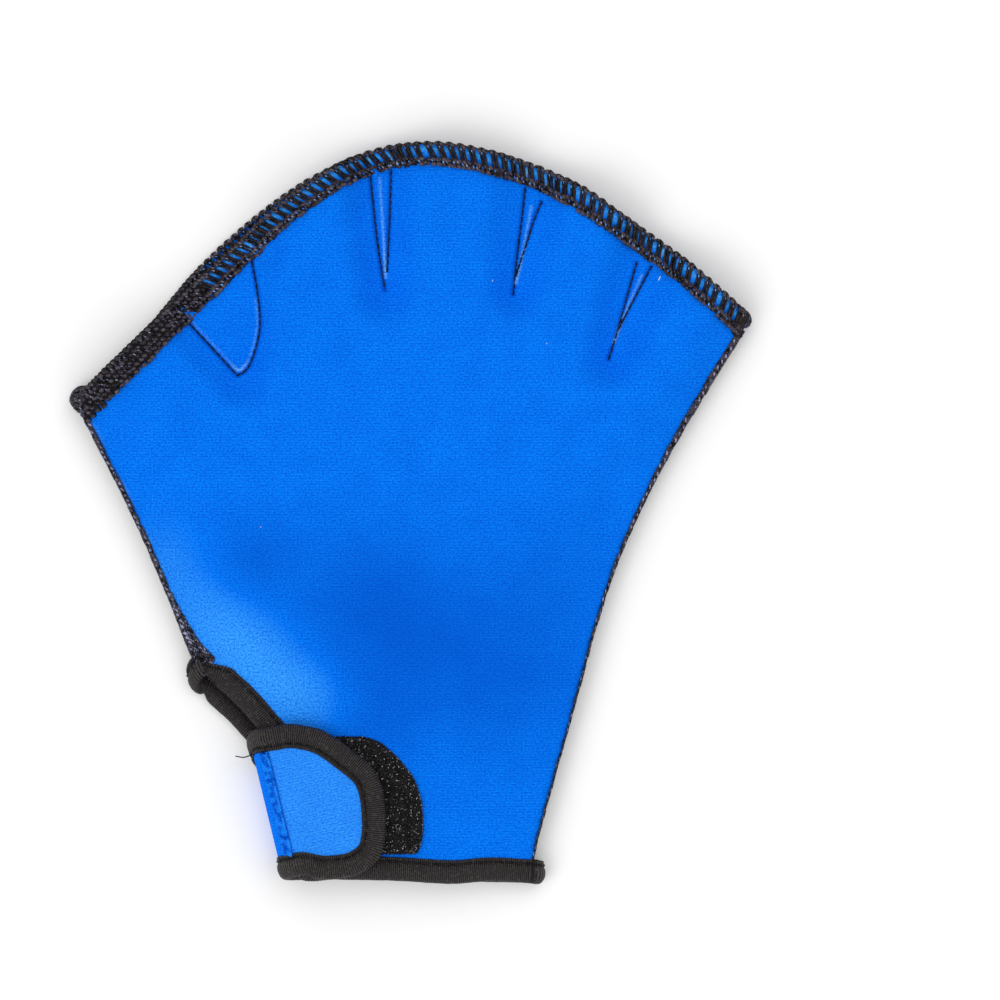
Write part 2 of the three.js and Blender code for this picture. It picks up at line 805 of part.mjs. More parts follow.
// Binding tape: one closed run round the upper wrist edge, the notch, the strap
// and the lower wrist edge
const tapeProfile = trimProfile(bindingWidth, panelThickness / 2);
const section = (station) => tapeProfile.map(([inset, height]) => station(inset, height));
const wristIn = mitredNormals(upperWristPoints, 1);
const notchIn = mitredNormals(upperNotchPoints, 1);
const slitColumn = upperCuff[0];
const slitInner = upperCuff[1];
const slitIn = mitredNormals(slitChain, 1)[0];
const cornerNormal = (before, corner, after) => mitredNormals([before, corner, after], 1)[1];
const slitEndIn = cornerNormal(slitColumn[cuffRows - 1], slitColumn[cuffRows], upperWristPoints[1]);
const slitTopIn = cornerNormal(upperNotchPoints[notchStrips - 1], slitColumn[0], slitColumn[1]);
const slitTopInner = slitColumn[0].clone().addScaledVector(slitTopIn, bindingWidth);
const upperStation = (point, inner, outward) => {
  return gridStation(point, inner, outward, bindingWidth, placeUpper);
};
const upperTape = [
  ...upperNotchPoints.slice(0, -1).map((point, i) => {
    return upperStation(point, upperHand[i][handRows - 1], notchIn[i]);
  }),
  upperStation(slitColumn[0], slitTopInner, slitTopIn),
  ...slitColumn.slice(1, cuffRows - 1).map((point, j) => {
    return upperStation(point, slitInner[j + 1], slitIn);
  }),
  upperStation(slitColumn[cuffRows], slitInner[cuffRows - 1], slitEndIn),
  ...upperWristPoints.slice(2).map((point, i) => {
    return upperStation(point, upperCuff[i + 2][cuffRows - 1], wristIn[i + 2]);
  }),
].map(section).reverse();

function lowerStation(point, inward) {
  return (inset, height) => placeLower(point.clone().addScaledVector(inward, inset), -height);
}
function foldedStation(point, inward) {
  return (inset, height) => placeFolded(point.clone().addScaledVector(inward, inset), -height);
}
const sideDirection = (side, end, next) => side[next].clone().sub(side[end]).normalize();
const lowerNotchIn = mitredNormals(lowerNotchPoints, 1);
lowerNotchIn[0] = sideDirection(lowerThumbSide, handRows, handRows - 1);
const notchTape = lowerNotchPoints.slice(0, -1).map((point, i) => lowerStation(point, lowerNotchIn[i]));
const turnInward = (share) => turnPoint(share, 1).sub(turnCentre);
const turnTape = [
  ...turnShares.map((share) => lowerStation(turnPoint(share, notchRadius), turnInward(share))),
  lowerStation(between(neckInner, foldStart, 0.5), turnInward(0.75)),
  lowerStation(foldStart, turnInward(1)),
];
const down = new THREE.Vector2(0, 1);
const up = new THREE.Vector2(0, -1);
const bendDistances = [...neckDistances.slice(1), seamMiddle + seamHalfGap];
const bendTape = (share, inward) => {
  return bendDistances.map((distance) => foldedStation(neckPoint(distance, share), inward));
};
const neckUpperTape = bendTape(0, down);
const neckLowerTape = bendTape(1, up).reverse();
const strapOutline = [
  ...strapGrid.map((column) => column[0]),
  ...strapGrid[strapColumns].slice(1, -1),
  ...strapGrid.map((column) => column[strapRows]).reverse(),
];
const strapNormals = mitredNormals(strapOutline, 1);
strapNormals[0] = down;
strapNormals[strapNormals.length - 1] = up;
const strapTape = strapOutline.map((point, i) => foldedStation(point, strapNormals[i]));
const lowerWristIn = mitredNormals(lowerWristPoints, 1);
lowerWristIn[0] = foldDown.clone().negate();
lowerWristIn[lowerWristIn.length - 1] = sideDirection(cuffSide, cuffRows, cuffRows - 1);
const wristTape = lowerWristPoints.map((point, i) => lowerStation(point, lowerWristIn[i]));
const lowerTape = [
  ...notchTape,
  ...turnTape,
  ...neckUpperTape,
  ...strapTape,
  ...neckLowerTape,
  ...wristTape,
].map(section);

// Round turn of the tape from one panel to the other at a corner
function turnSections(from, to, outward, steps) {
  const list = [];
  for (let k = 1; k < steps; k += 1) {
    const angle = (Math.PI * k) / steps;
    list.push(
      from.map((start, n) => {
        const middle = start.clone().add(to[n]).multiplyScalar(0.5);
        const half = start.clone().sub(to[n]).multiplyScalar(0.5);
        const reach = Math.abs(half.z) * Math.sin(angle);
        middle.addScaledVector(half, Math.cos(angle));
        return middle.add(new THREE.Vector3(outward.x * reach, outward.y * reach, 0));
      }),
    );
  }
  return list;
}
const thumbOut = mitredNormals(upperThumbSide, -1)[handRows];
const outerOut = mitredNormals(cuffSide, 1)[cuffRows];
const cornerSteps = 6;
const tapeSections = [
  ...upperTape,
  ...turnSections(upperTape[upperTape.length - 1], lowerTape[0], thumbOut, cornerSteps),
  ...lowerTape,
  ...turnSections(lowerTape[lowerTape.length - 1], upperTape[0], outerOut, cornerSteps),
];
const wristBinding = sweptBody('wrist_binding', tapeSections, tapeProfile, true, bindingTape);

// Fastening patches: pile on the upper panel, hooks under the strap
const trimClear = bindingWidth + endGap;
const slitRun = slitChain[1].clone().sub(slitChain[0]).normalize();
const slitClear = slitChain[0].clone().addScaledVector(slitIn, trimClear);
const besideSlit = (y) => slitClear.clone().addScaledVector(slitRun, (y - slitClear.y) / slitRun.y);
const loopLow = slitChain[1].y + trimClear;
const loopOutline = [
  besideSlit(loopEdge[0].along * panelLength),
  ...onPlanAll(loopEdge),
  new THREE.Vector2(loopCorner * panelWidth, loopLow),
  besideSlit(loopLow),
];
const loopPatch = patchBody('loop_patch', loopOutline, loopBottom, loopThickness, loopPile);

const onTop = (point) => {
  const flat = foldStart.clone().addScaledVector(foldDown, point.y);
  return flat.addScaledVector(foldAway, foldLength - point.x);
};
const hookEnd = strapGrid[strapColumns].map((point, j) => {
  return point.clone().addScaledVector(strapNormals[strapColumns + j], trimClear);
});
const hookFrom = hookEnd[3];
const hookTo = hookEnd[strapRows - 3];
const hookOutline = [
  new THREE.Vector2(foldLength, hookFrom.y),
  ...hookEnd.slice(3, strapRows - 2),
  new THREE.Vector2(foldLength, hookTo.y),
].map(onTop);
const hookPatch = patchBody('hook_patch', hookOutline, hookBottom, hookThickness, hookTape);

const glove = new THREE.Group();
glove.name = 'webbed_swim_glove';
glove.add(
  lowerPanel,
  upperPanel,
  lowerBand,
  upperBand,
  thumbSeam,
  outerSeam,
  wristBinding,
  wristStrap,
  strapSeam,
  loopPatch,
  hookPatch,
);

// Stand the glove on its underside, centred on the origin
const bounds = new THREE.Box3().setFromObject(glove);
const centre = bounds.getCenter(new THREE.Vector3());
glove.position.set(-centre.x, -centre.y, -bounds.min.z);

export default glove;
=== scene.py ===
import json
import math
import bpy
import numpy as np
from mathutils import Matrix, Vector
from mathutils.geometry import delaunay_2d_cdt

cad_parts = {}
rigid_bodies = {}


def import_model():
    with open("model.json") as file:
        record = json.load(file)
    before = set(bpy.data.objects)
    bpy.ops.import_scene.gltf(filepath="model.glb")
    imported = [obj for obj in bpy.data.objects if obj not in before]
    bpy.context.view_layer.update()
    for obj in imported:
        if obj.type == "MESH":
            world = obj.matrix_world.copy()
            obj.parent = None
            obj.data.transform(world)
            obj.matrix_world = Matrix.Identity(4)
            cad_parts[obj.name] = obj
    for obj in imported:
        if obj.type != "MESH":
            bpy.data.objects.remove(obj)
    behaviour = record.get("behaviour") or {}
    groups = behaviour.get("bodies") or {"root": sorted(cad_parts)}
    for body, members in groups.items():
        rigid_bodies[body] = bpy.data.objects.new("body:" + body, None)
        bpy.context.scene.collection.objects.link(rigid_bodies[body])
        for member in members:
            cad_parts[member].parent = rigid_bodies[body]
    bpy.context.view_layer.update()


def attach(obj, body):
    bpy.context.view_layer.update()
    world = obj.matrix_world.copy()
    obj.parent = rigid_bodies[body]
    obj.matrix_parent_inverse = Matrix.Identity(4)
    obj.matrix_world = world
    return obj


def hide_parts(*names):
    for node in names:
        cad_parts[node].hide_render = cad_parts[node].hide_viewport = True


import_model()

# Lengths in millimetres on the flat plan of the glove, heights from the surface it lies on
glove = {
    "width": 191,
    "length": 208.5,
    "cloth": 2.0,
    "trimDepth": 0.7,
    "closedGap": 1.7,
    "middleX": 95.489,
    "middleY": 103.986,
}
halfCloth = glove["cloth"] / 2
planMiddle = np.array([glove["middleX"], glove["middleY"], 0])
floorClear = 0.02
lowerMiddle = glove["trimDepth"] + halfCloth
upperBase = glove["trimDepth"] + 3 * halfCloth + glove["closedGap"]


# Numbers, colours and node trees

def linear(value):
    return value / 12.92 if value <= 0.04045 else ((value + 0.055) / 1.055) ** 2.4


def colour(text):
    parts = [int(text[i:i + 2], 16) / 255 for i in (1, 3, 5)]
    return (*[linear(part) for part in parts], 1)


# A node and its settings; an input that is a socket is linked, any other is set
def addNode(tree, kind, inputs=None, **settings):
    made = tree.nodes.new(kind)
    for key, value in settings.items():
        setattr(made, key, value)
    for key, value in (inputs or {}).items():
        if isinstance(value, bpy.types.NodeSocket):
            tree.links.new(value, made.inputs[key])
        else:
            made.inputs[key].default_value = value
    return made


def fromNode(tree, kind, inputs=None, output=0, **settings):
    return addNode(tree, kind, inputs, **settings).outputs[output]


def ease(value):
    t = np.clip(value, 0, 1)
    return t * t * (3 - 2 * t)


# Plan geometry: a point on the plan is a complex number, across + along * 1j

def plan(rows):
    return np.array([complex(row[0] * glove["width"], row[1] * glove["length"]) for row in rows])


def pointsOf(rows):
    return np.array([complex(*row) for row in rows])


def closed(loop):
    return np.append(loop, loop[:1])


def smoothChain(points, steps=16):
    last = len(points) - 1
    t = np.arange(steps) / steps
    parts = []
    for i in range(last):
        before, here = points[max(i - 1, 0)], points[i]
        there, after = points[i + 1], points[min(i + 2, last)]
        v0, v1 = (there - before) / 2, (after - here) / 2
        cubic = (2 * here - 2 * there + v0 + v1) * t ** 3
        square = (-3 * here + 3 * there - 2 * v0 - v1) * t ** 2
        parts.append(cubic + square + v0 * t + here)
    return np.append(np.concatenate(parts), points[-1])


def lengthsAlong(chain):
    return np.append(0, np.cumsum(np.abs(np.diff(chain))))


def walk(chain, distance):
    at = lengthsAlong(chain)
    return np.interp(distance, at, chain.real) + 1j * np.interp(distance, at, chain.imag)


def walkShares(chain, shares):
    return walk(chain, shares * lengthsAlong(chain)[-1])


def unit(value):
    return value / np.maximum(np.abs(value), 1e-9)


# Mitred normals of a chain, to the left of its run when turn is 1
def normalsOf(chain, turn):
    steps = unit(np.diff(chain))
    first = np.append(steps[:1], steps)
    second = np.append(steps, steps[-1:])
    total = unit(first + second)
    spread = np.maximum(0.5, (total * first.conj()).real)
    return total * 1j * turn / spread


def distanceTo(points, chain):
    best = np.full(len(points), 1e9)
    for a, b in zip(chain[:-1], chain[1:]):
        side = b - a
        if abs(side) < 1e-6:
            continue
        reach = np.clip(((points - a) * side.conjugate()).real / abs(side) ** 2, 0, 1)
        best = np.minimum(best, np.abs(points - a - reach * side))
    return best


def nearLine(points, chain, reach):
    return np.exp(-(distanceTo(points, chain) / reach) ** 2)


# Lines in space: the length run at each point, and values read between the rows of a table
def travelAlong(line):
    return np.append(0, np.cumsum(np.linalg.norm(np.diff(line, axis=0), axis=1)))


def rowsAt(spots, at, rows):
    return np.stack([np.interp(spots, at, rows[:, k]) for k in range(3)], -1)


# Outline of the panels, as shares of the flat width and length; the finger edge's third
# number is how far the lower panel shows past the upper one
outline = {
    "finger": [
        (0, 0.652, 0), (0.0966, 0.738, 0), (0.2036, 0.833, 0.013), (0.3165, 0.926, 0.008),
        (0.422, 0.9843, 0), (0.5245, 1, 0), (0.627, 0.985, 0), (0.7325, 0.9489, 0),
        (0.8276, 0.8904, 0), (0.9034, 0.8414, 0), (1, 0.7638, 0),
    ],
    "outer": [
        (1, 0.7638), (0.9465, 0.6862), (0.8722, 0.5691), (0.8113, 0.452), (0.7741, 0.354),
        (0.7385, 0.2342), (0.7043, 0.1225), (0.683, 0.049), (0.674, 0),
    ],
    "thumb": [(0, 0.652), (0.0951, 0.4765), (0.1728, 0.3063)],
    "upperNotch": [(0.1902, 0.2818), (0.24, 0.2425), (0.281, 0.2)],
    "slitEnd": (0.3362, 0.0068),
    "lowerNotch": [
        (0.1872, 0.2573), (0.2021, 0.241), (0.2288, 0.2192), (0.2526, 0.1954), (0.2689, 0.1852),
    ],
    "foldTop": (0.3001, 0.1729),
    "foldEnd": (0.3447, 0.0041),
    "upperWrist": [
        (0.3362, 0.0068), (0.42, 0.0055), (0.48, 0.004), (0.557, 0), (0.614, 0.0034), (0.674, 0),
    ],
    "lowerWrist": [(0.3447, 0.0041), (0.45, 0.0048), (0.557, 0.002), (0.674, 0)],
}

# Room inside for the hand, and the webs that are sewn flat between the fingers
room = {
    "wrist": 4.1,
    "palm": 7,
    "mouth": 5.6,
    "wristEnds": 0.24,
    "palmAt": 0.5,
    "mouthAt": 0.84,
    "palmReach": 26,
    "mouthReach": 12,
    "webReach": 11,
    "mouthFrom": 0.45,
    "mouthOver": 0.25,
    "webs": [
        (0.198, 0.825, 0.2466, 0.6875, 0.076), (0.4495, 0.99, 0.4577, 0.8005, 0.016),
        (0.6835, 0.9646, 0.6523, 0.8005, 0.019), (0.8566, 0.8686, 0.7949, 0.7107, 0.019),
    ],
}

# Sewn lines of the darts and of the thumb's web, and ridges between each pair of them, in
# millimetres on the plan
sewnLines = {
    "thumbWeb": [
        (29.8, 160.2), (38, 151.4), (44.9, 144.0), (46.3, 143.4), (48.8, 145.4), (50.6, 149.5),
        (52.0, 155.1), (52.2, 160), (51.7, 165.0), (50.7, 171.2), (49.4, 177.2),
    ],
    "indexDartLeft": [(83.2, 201.1), (84.3, 190), (85.6, 179), (87.5, 167.3)],
    "indexDartRight": [(89.2, 201.1), (88.9, 190), (88.5, 181), (88.0, 172.7)],
    "middleDartLeft": [(127.2, 196.2), (126.3, 188), (124.9, 177), (123.8, 166.1)],
    "middleDartRight": [(131.8, 192.3), (129.3, 186), (126.9, 178.6), (124.7, 171.5)],
    "ringDartLeft": [(158.8, 175.2), (156.2, 166), (153.4, 156), (150.8, 147.7)],
    "ringDartRight": [(163.0, 174.1), (159.7, 168), (156.2, 161.3), (153.1, 155.1)],
    "depth": 0.85,
    "reach": 0.62,
}
ridges = {
    "lines": [
        [(86.0, 199), (87.0, 184), (87.7, 171)],
        [(129.0, 191), (126.7, 178.5), (124.6, 169.4)],
        [(160.4, 171.6), (156.0, 161.8), (152.3, 152.4)],
        [(44.4, 145.9), (46.3, 144.5), (48.0, 146.2)],
    ],
    "height": 0.4,
    "reach": 0.7,
}

# Painted light and shade on the cloth: painted highlights along the ridges, inside the thumb's web
# and beside the thumb's seam, paler lines in the stitched edge over each dart, painted shade in the
# sewn lines. Each tone is a soft round patch of painted light or, below zero, painted shade, the
# last one the painted shadow above the strap: across, along, reach, and its share. The window is
# the paler line of cloth that shows between the edge's stitches.
marks = {
    "overDarts": [
        [(82.9, 207), (83.1, 202.6)], [(89.5, 207.4), (89.2, 203)], [(127.9, 202), (127.4, 198.5)],
        [(133.6, 198.7), (132.6, 195.8)], [(160.6, 181), (159.6, 178.2)],
        [(166.6, 178.6), (165, 176.4)], [(49.6, 181.2), (49.4, 178.5)], [(28.2, 162), (29, 161)],
    ],
    "insideWeb": [
        (30.6, 160.9), (38.6, 152.2), (44.9, 145.6), (46.6, 144.6), (48.2, 146.4), (49.8, 150),
        (51.1, 155.5), (51.3, 160), (50.8, 165),
    ],
    "tone": [
        (25, 89.5, 10, 0.2), (36.4, 76.1, 12, 0.3), (47.7, 65.3, 13, 0.45), (60.5, 54, 12, 0.45),
        (72, 51, 10, 0.2), (80.4, 79.5, 22, -0.38), (50, 91, 12, -0.38), (100, 65.3, 26, -0.36),
        (125.8, 56.8, 22, -0.3), (135, 88, 20, -0.2), (84, 45.5, 12, -0.3),
    ],
    "ridgeHighlight": {"wide": 0.36, "share": 0.45, "more": 0.4, "endReach": 16},
    "dart": {"wide": 0.4, "share": 0.9},
    "web": {"wide": 0.3, "share": 0.26},
    "beside": {"at": 1.35, "wide": 0.25, "share": 0.16, "from": 72, "over": 20},
    "window": {"at": 1.5, "wide": 1.7, "share": 0.75},
    "sewnWide": 0.46,
}
sewn = {key: smoothChain(pointsOf(rows), 6)
        for key, rows in sewnLines.items() if isinstance(rows, list)}
ridgeLines = [smoothChain(pointsOf(rows), 6) for rows in ridges["lines"]]
overDarts = [pointsOf(rows) for rows in marks["overDarts"]]
insideWeb = smoothChain(pointsOf(marks["insideWeb"]), 6)

thumbChain = np.append(plan(outline["thumb"]), plan(outline["upperNotch"])[0])
outerChain = smoothChain(plan(outline["outer"]))
fingerUpper = smoothChain(plan(outline["finger"]))
fingerPoints = plan(outline["finger"])
peeking = np.array([row[2] for row in outline["finger"]]) * glove["width"]
fingerLower = smoothChain(fingerPoints + normalsOf(fingerPoints, 1) * peeking)


def roomAt(points):
    share = points.imag / glove["length"]
    toPalm = ease((share - room["wristEnds"]) / (room["palmAt"] - room["wristEnds"]))
    toMouth = ease((share - room["palmAt"]) / (room["mouthAt"] - room["palmAt"]))
    high = room["wrist"] + (room["palm"] - room["wrist"]) * toPalm
    high = high + (room["mouth"] - high) * toMouth
    nearMouth = ease((share - room["mouthFrom"]) / room["mouthOver"])
    reach = room["palmReach"] + (room["mouthReach"] - room["palmReach"]) * nearMouth
    clear = ease(distanceTo(points, thumbChain) / reach)
    clear = clear * ease(distanceTo(points, outerChain) / reach)
    for x0, y0, x1, y1, wide in room["webs"]:
        start, tip = plan([(x0, y0), (x1, y1)])
        axis = tip - start
        part = np.clip(((points - start) * axis.conjugate()).real / abs(axis) ** 2, 0, 1)
        away = np.abs(points - start - part * axis) - wide * glove["width"] * (1 - part)
        clear = clear * ease(away / room["webReach"])
    return high * clear


# The panels' edges are drawn together at the side seams, away from the corners
sidePinch = {"depth": 0.4, "reach": 6, "fromEnds": 14}


def pinchAt(points):
    total = np.zeros(len(points))
    for chain in (thumbChain, outerChain):
        near = 1 - ease(distanceTo(points, chain) / sidePinch["reach"])
        for end in (chain[0], chain[-1]):
            near = near * ease(np.abs(points - end) / sidePinch["fromEnds"])
        total = np.maximum(total, near)
    return sidePinch["depth"] * total


def creasesAt(points):
    lift = np.zeros(len(points))
    for chain in sewn.values():
        lift = np.minimum(lift, -sewnLines["depth"] * nearLine(points, chain, sewnLines["reach"]))
    for chain in ridgeLines:
        lift = lift + ridges["height"] * nearLine(points, chain, ridges["reach"])
    return lift


# Shares of painted highlight along the lines and of painted shade in the sewn lines, then of
# painted light in soft patches together with the paler window line by the edge, and of painted
# shade in soft patches
def markShares(points):
    ridgeHighlight, dart, web, beside = (marks[key] for key in ("ridgeHighlight", "dart", "web", "beside"))
    light, dark, tone = (np.zeros(len(points)) for _ in range(3))
    for chain in ridgeLines:
        share = ridgeHighlight["share"] + ridgeHighlight["more"] * ease(
            1 - np.abs(points - chain[-1]) / ridgeHighlight["endReach"])
        light = np.maximum(light, share * nearLine(points, chain, ridgeHighlight["wide"]))
    light = np.maximum(light, web["share"] * nearLine(points, insideWeb, web["wide"]))
    for chain in overDarts:
        light = np.maximum(light, dart["share"] * nearLine(points, chain, dart["wide"]))
    near = np.exp(-((distanceTo(points, thumbChain) - beside["at"]) / beside["wide"]) ** 2)
    share = beside["share"] * ease((points.imag - beside["from"]) / beside["over"])
    light = np.maximum(light, share * near)
    for chain in sewn.values():
        dark = np.maximum(dark, nearLine(points, chain, marks["sewnWide"]))
    for x, y, reach, share in marks["tone"]:
        tone += share * np.exp(-(np.abs(points - complex(x, y)) / reach) ** 2)
    at, wide, share = marks["window"].values()
    tone += share * ease(1 - np.abs(distanceTo(points, fingerUpper) - at) / wide)
    return light, dark, np.clip(tone, 0, 1), np.clip(-tone, 0, 1)


# Slow hollows and swells of the cloth as it lies: height, wave length, turn and phase
swells = [
    (0.30, 61, 0.4, 1.1), (0.22, 43, 2.1, 0.3), (0.16, 29, -0.7, 2.0), (0.10, 17, 1.3, 4.2),
]


def swellAt(points):
    total = np.zeros(len(points))
    for height, wave, turn, phase in swells:
        along = (points * np.exp(1j * turn)).real
        total += height * np.sin(2 * np.pi * along / wave + phase)
    return total * ease(roomAt(points) / 4)


def spot(points, level):
    return np.stack([points.real, points.imag, level + 0 * points.real], -1)


def placeUpper(points, height=0.0):
    level = upperBase + roomAt(points) + creasesAt(points) + swellAt(points) - pinchAt(points)
    return spot(points, level + height)


# The strap is laid out unfolded: across is the way from the fold line, along the way down it
fold = {"radius": 6.0, "notchRadius": 1.5, "seamAt": 5 / 6}
foldLength = math.pi * fold["radius"]
foldStart, foldStop = plan([outline["foldTop"], outline["foldEnd"]])
foldLine = abs(foldStop - foldStart)
foldDown = (foldStop - foldStart) / foldLine
foldAway = foldDown * -1j


def placeFolded(points, height=0.0):
    turned = np.clip(points.real / foldLength, 0, 1) * np.pi
    radius = fold["radius"] - height
    flat = np.minimum(points.real, 0) - np.maximum(points.real - foldLength, 0)
    along = foldStart + foldDown * points.imag + foldAway * (flat + radius * np.sin(turned))
    return spot(along, lowerMiddle + fold["radius"] - radius * np.cos(turned))


def unfold(points):
    offset = points - foldStart
    across = foldLength - (offset * foldAway.conjugate()).real
    return across + 1j * (offset * foldDown.conjugate()).real


# Neck of the strap round the bend: share of the bend, then rise and drop of its edges
neckEdges = np.array([
    (0, 0, 0), (1 / 6, 0.024, 0.018), (2 / 6, 0.06, 0.034), (3 / 6, 0.17, 0.048),
    (4 / 6, 0.21, 0.056), (5 / 6, 0.21, 0.058), (1, 0.2, 0.052),
])


def neckPoint(distance, share):
    round_ = distance / foldLength
    upper = -np.interp(round_, neckEdges[:, 0], neckEdges[:, 1]) * foldLine
    lower = foldLine * (1 - np.interp(round_, neckEdges[:, 0], neckEdges[:, 2]))
    return distance + 1j * (upper + (lower - upper) * share)


strap = {
    "upper": [(0.309, 0.2108), (0.339, 0.2084), (0.3717, 0.1995)],
    "tip": [
        (0.4044, 0.1784), (0.4253, 0.1635), (0.4424, 0.1471), (0.4513, 0.124), (0.4557, 0.094),
        (0.455, 0.0572), (0.4431, 0.0286), (0.4116, 0.0116),
    ],
    "lower": [(0.3596, 0.0075), (0.3878, 0.0078)],
    "gap": 0.3,
}
seamMiddle = fold["seamAt"] * foldLength
strapUpper = smoothChain(np.concatenate([
    [neckPoint(foldLength, 0)], unfold(plan(strap["upper"] + strap["tip"][:1]))]))
strapTip = smoothChain(unfold(plan(strap["tip"])))
strapLower = smoothChain(np.concatenate([
    [neckPoint(foldLength, 1)], unfold(plan(strap["lower"] + strap["tip"][-1:]))]))

# Notch and slit
turnCentre = foldStart - foldDown * fold["notchRadius"]


def turnPoint(share, radius):
    angle = share * np.pi
    return turnCentre - foldDown * radius * np.cos(angle) - foldAway * radius * np.sin(angle)


upperNotchChain = smoothChain(plan(outline["upperNotch"]))
lowerNotchChain = smoothChain(
    np.append(plan(outline["lowerNotch"]), turnPoint(0, fold["notchRadius"])))
slitTop, slitEnd = plan([outline["upperNotch"][-1], outline["slitEnd"]])
upperWristChain = smoothChain(plan(outline["upperWrist"]))
lowerWristChain = smoothChain(plan(outline["lowerWrist"]))
thumbSide = smoothChain(plan(outline["thumb"]))
upperThumbSide = np.append(thumbSide, upperNotchChain[0])
lowerThumbSide = np.append(thumbSide, lowerNotchChain[0])
neckInner = turnPoint(0.5, fold["notchRadius"])

lowerOutline = np.concatenate([
    fingerLower, outerChain[1:], lowerWristChain[::-1][1:], [foldStop, foldStart, neckInner],
    lowerNotchChain[::-1], lowerThumbSide[::-1],
])


# Within the tape and the threads, which lift the panel's edge, it sinks to the surface
settling = {"from": 7, "over": 8}


def placeLower(points, height=0.0):
    inside = distanceTo(points, lowerOutline[::3]) - settling["from"]
    settle = glove["trimDepth"] * ease(inside / settling["over"])
    return spot(points, lowerMiddle - settle + pinchAt(points) + height)


# Meshes

def addObject(name, data):
    made = bpy.data.objects.new(name, data)
    bpy.context.collection.objects.link(made)
    return made


# Points in millimetres on the plan; plans keeps each one's place on the flat cloth
def makeMesh(name, points, faces, plans, lying=True):
    mesh = bpy.data.meshes.new(name)
    if lying:
        points = np.maximum(points, [-np.inf, -np.inf, floorClear])
    mesh.from_pydata(((points - planMiddle) * 0.001).tolist(), [], faces)
    corners = np.zeros(len(mesh.loops), dtype=np.int32)
    mesh.loops.foreach_get("vertex_index", corners)
    layer = mesh.uv_layers.new(name="clothPlan")
    layer.data.foreach_set("uv", (plans[corners] * 0.01).astype(np.float32).ravel())
    mesh.polygons.foreach_set("use_smooth", [True] * len(mesh.polygons))
    mesh.validate()
    return addObject(name, mesh)


def evenLoop(chains, spacing):
    parts = []
    for chain in chains:
        total = lengthsAlong(chain)[-1]
        count = max(1, round(total / spacing))
        parts.append(walk(np.asarray(chain), np.arange(count) * total / count))
    return np.concatenate(parts)


# Even triangles inside a loop, finer near the given lines
def fillLoop(loop, spacing, fineLines=(), fine=0.6, fineReach=4.0):
    low = complex(loop.real.min(), loop.imag.min())
    high = complex(loop.real.max(), loop.imag.max())

    def lattice(step):
        across = np.arange(low.real, high.real, step)
        along = np.arange(low.imag, high.imag, step * 0.866)
        grid = across[None, :] + 1j * along[:, None]
        grid[1::2] += step / 2
        return grid.ravel()

    points = lattice(spacing)
    if len(fineLines):
        near = np.min([distanceTo(points, chain) for chain in fineLines], axis=0)
        points = points[near > fineReach]
        extra = lattice(fine)
        near = np.min([distanceTo(extra, chain) for chain in fineLines], axis=0)
        points = np.concatenate([points, extra[near < fineReach - spacing * 0.3]])
    edge = np.abs(np.diff(closed(loop))).mean()
    points = points[distanceTo(points, closed(loop)) > edge * 0.5]
    everything = np.concatenate([loop, points])
    size = len(loop)
    edges = [(i, (i + 1) % size) for i in range(size)]
    found = delaunay_2d_cdt([Vector((p.real, p.imag)) for p in everything], edges, [], 1, 1e-4)
    return pointsOf(found[0]), np.array(found[2])


# Cloth of even thickness over one or more filled loops that share their seams, thinner
# towards its open edges
def clothPiece(name, patches, half, edgeRound=0.9, marked=False):
    tops, bottoms, plans, faces = [], [], [], []
    start = 0
    for flat, triangles, place, openEdge, seam in patches:
        away = distanceTo(flat, openEdge)
        if seam is not None:
            shared = distanceTo(flat, seam) < 0.02
            away[shared] = np.minimum(np.abs(flat - seam[0]), np.abs(flat - seam[1]))[shared]
        inner = 1 - np.clip(away / edgeRound, 0, 1)
        thin = half * (0.35 + 0.65 * np.sqrt(1 - inner ** 2))
        tops.append(place(flat, thin))
        bottoms.append(place(flat, -thin))
        plans.append(np.stack([flat.real, flat.imag], -1))
        faces.append(triangles + start)
        start += len(flat)
    tops, bottoms, plans = np.concatenate(tops), np.concatenate(bottoms), np.concatenate(plans)
    faces = np.concatenate(faces)
    _, first, same = np.unique(
        np.round(tops, 3), axis=0, return_index=True, return_inverse=True)
    faces = same.ravel()[faces]
    tops, bottoms, plans = tops[first], bottoms[first], plans[first]
    count = len(tops)
    a, b, c = tops[faces[:, 0]], tops[faces[:, 1]], tops[faces[:, 2]]
    cross = np.cross(b - a, c - a)
    up = tops[faces[:, 0]] - bottoms[faces[:, 0]]
    wrong = (cross * up).sum(-1) < 0
    faces[wrong] = faces[wrong][:, ::-1]
    around = dict.fromkeys(
        (tri[k], tri[(k + 1) % 3]) for tri in faces.tolist() for k in range(3))
    walls = [[p + count, q + count, q, p] for p, q in around if (q, p) not in around]
    every = faces.tolist() + (faces + count)[:, ::-1].tolist() + walls
    made = makeMesh(name, np.concatenate([tops, bottoms]), every, np.concatenate([plans, plans]))
    if marked:
        # The cloth's painted highlight, painted crease shade, painted light with the window line
        # and painted shade, kept on its points
        shares = markShares(plans[:, 0] + 1j * plans[:, 1])
        for label, values in zip(("lit", "sunk", "taut", "slack"), shares):
            layer = made.data.attributes.new(label, "FLOAT", "POINT")
            layer.data.foreach_set("value", np.tile(values, 2).astype(np.float32))
    return made


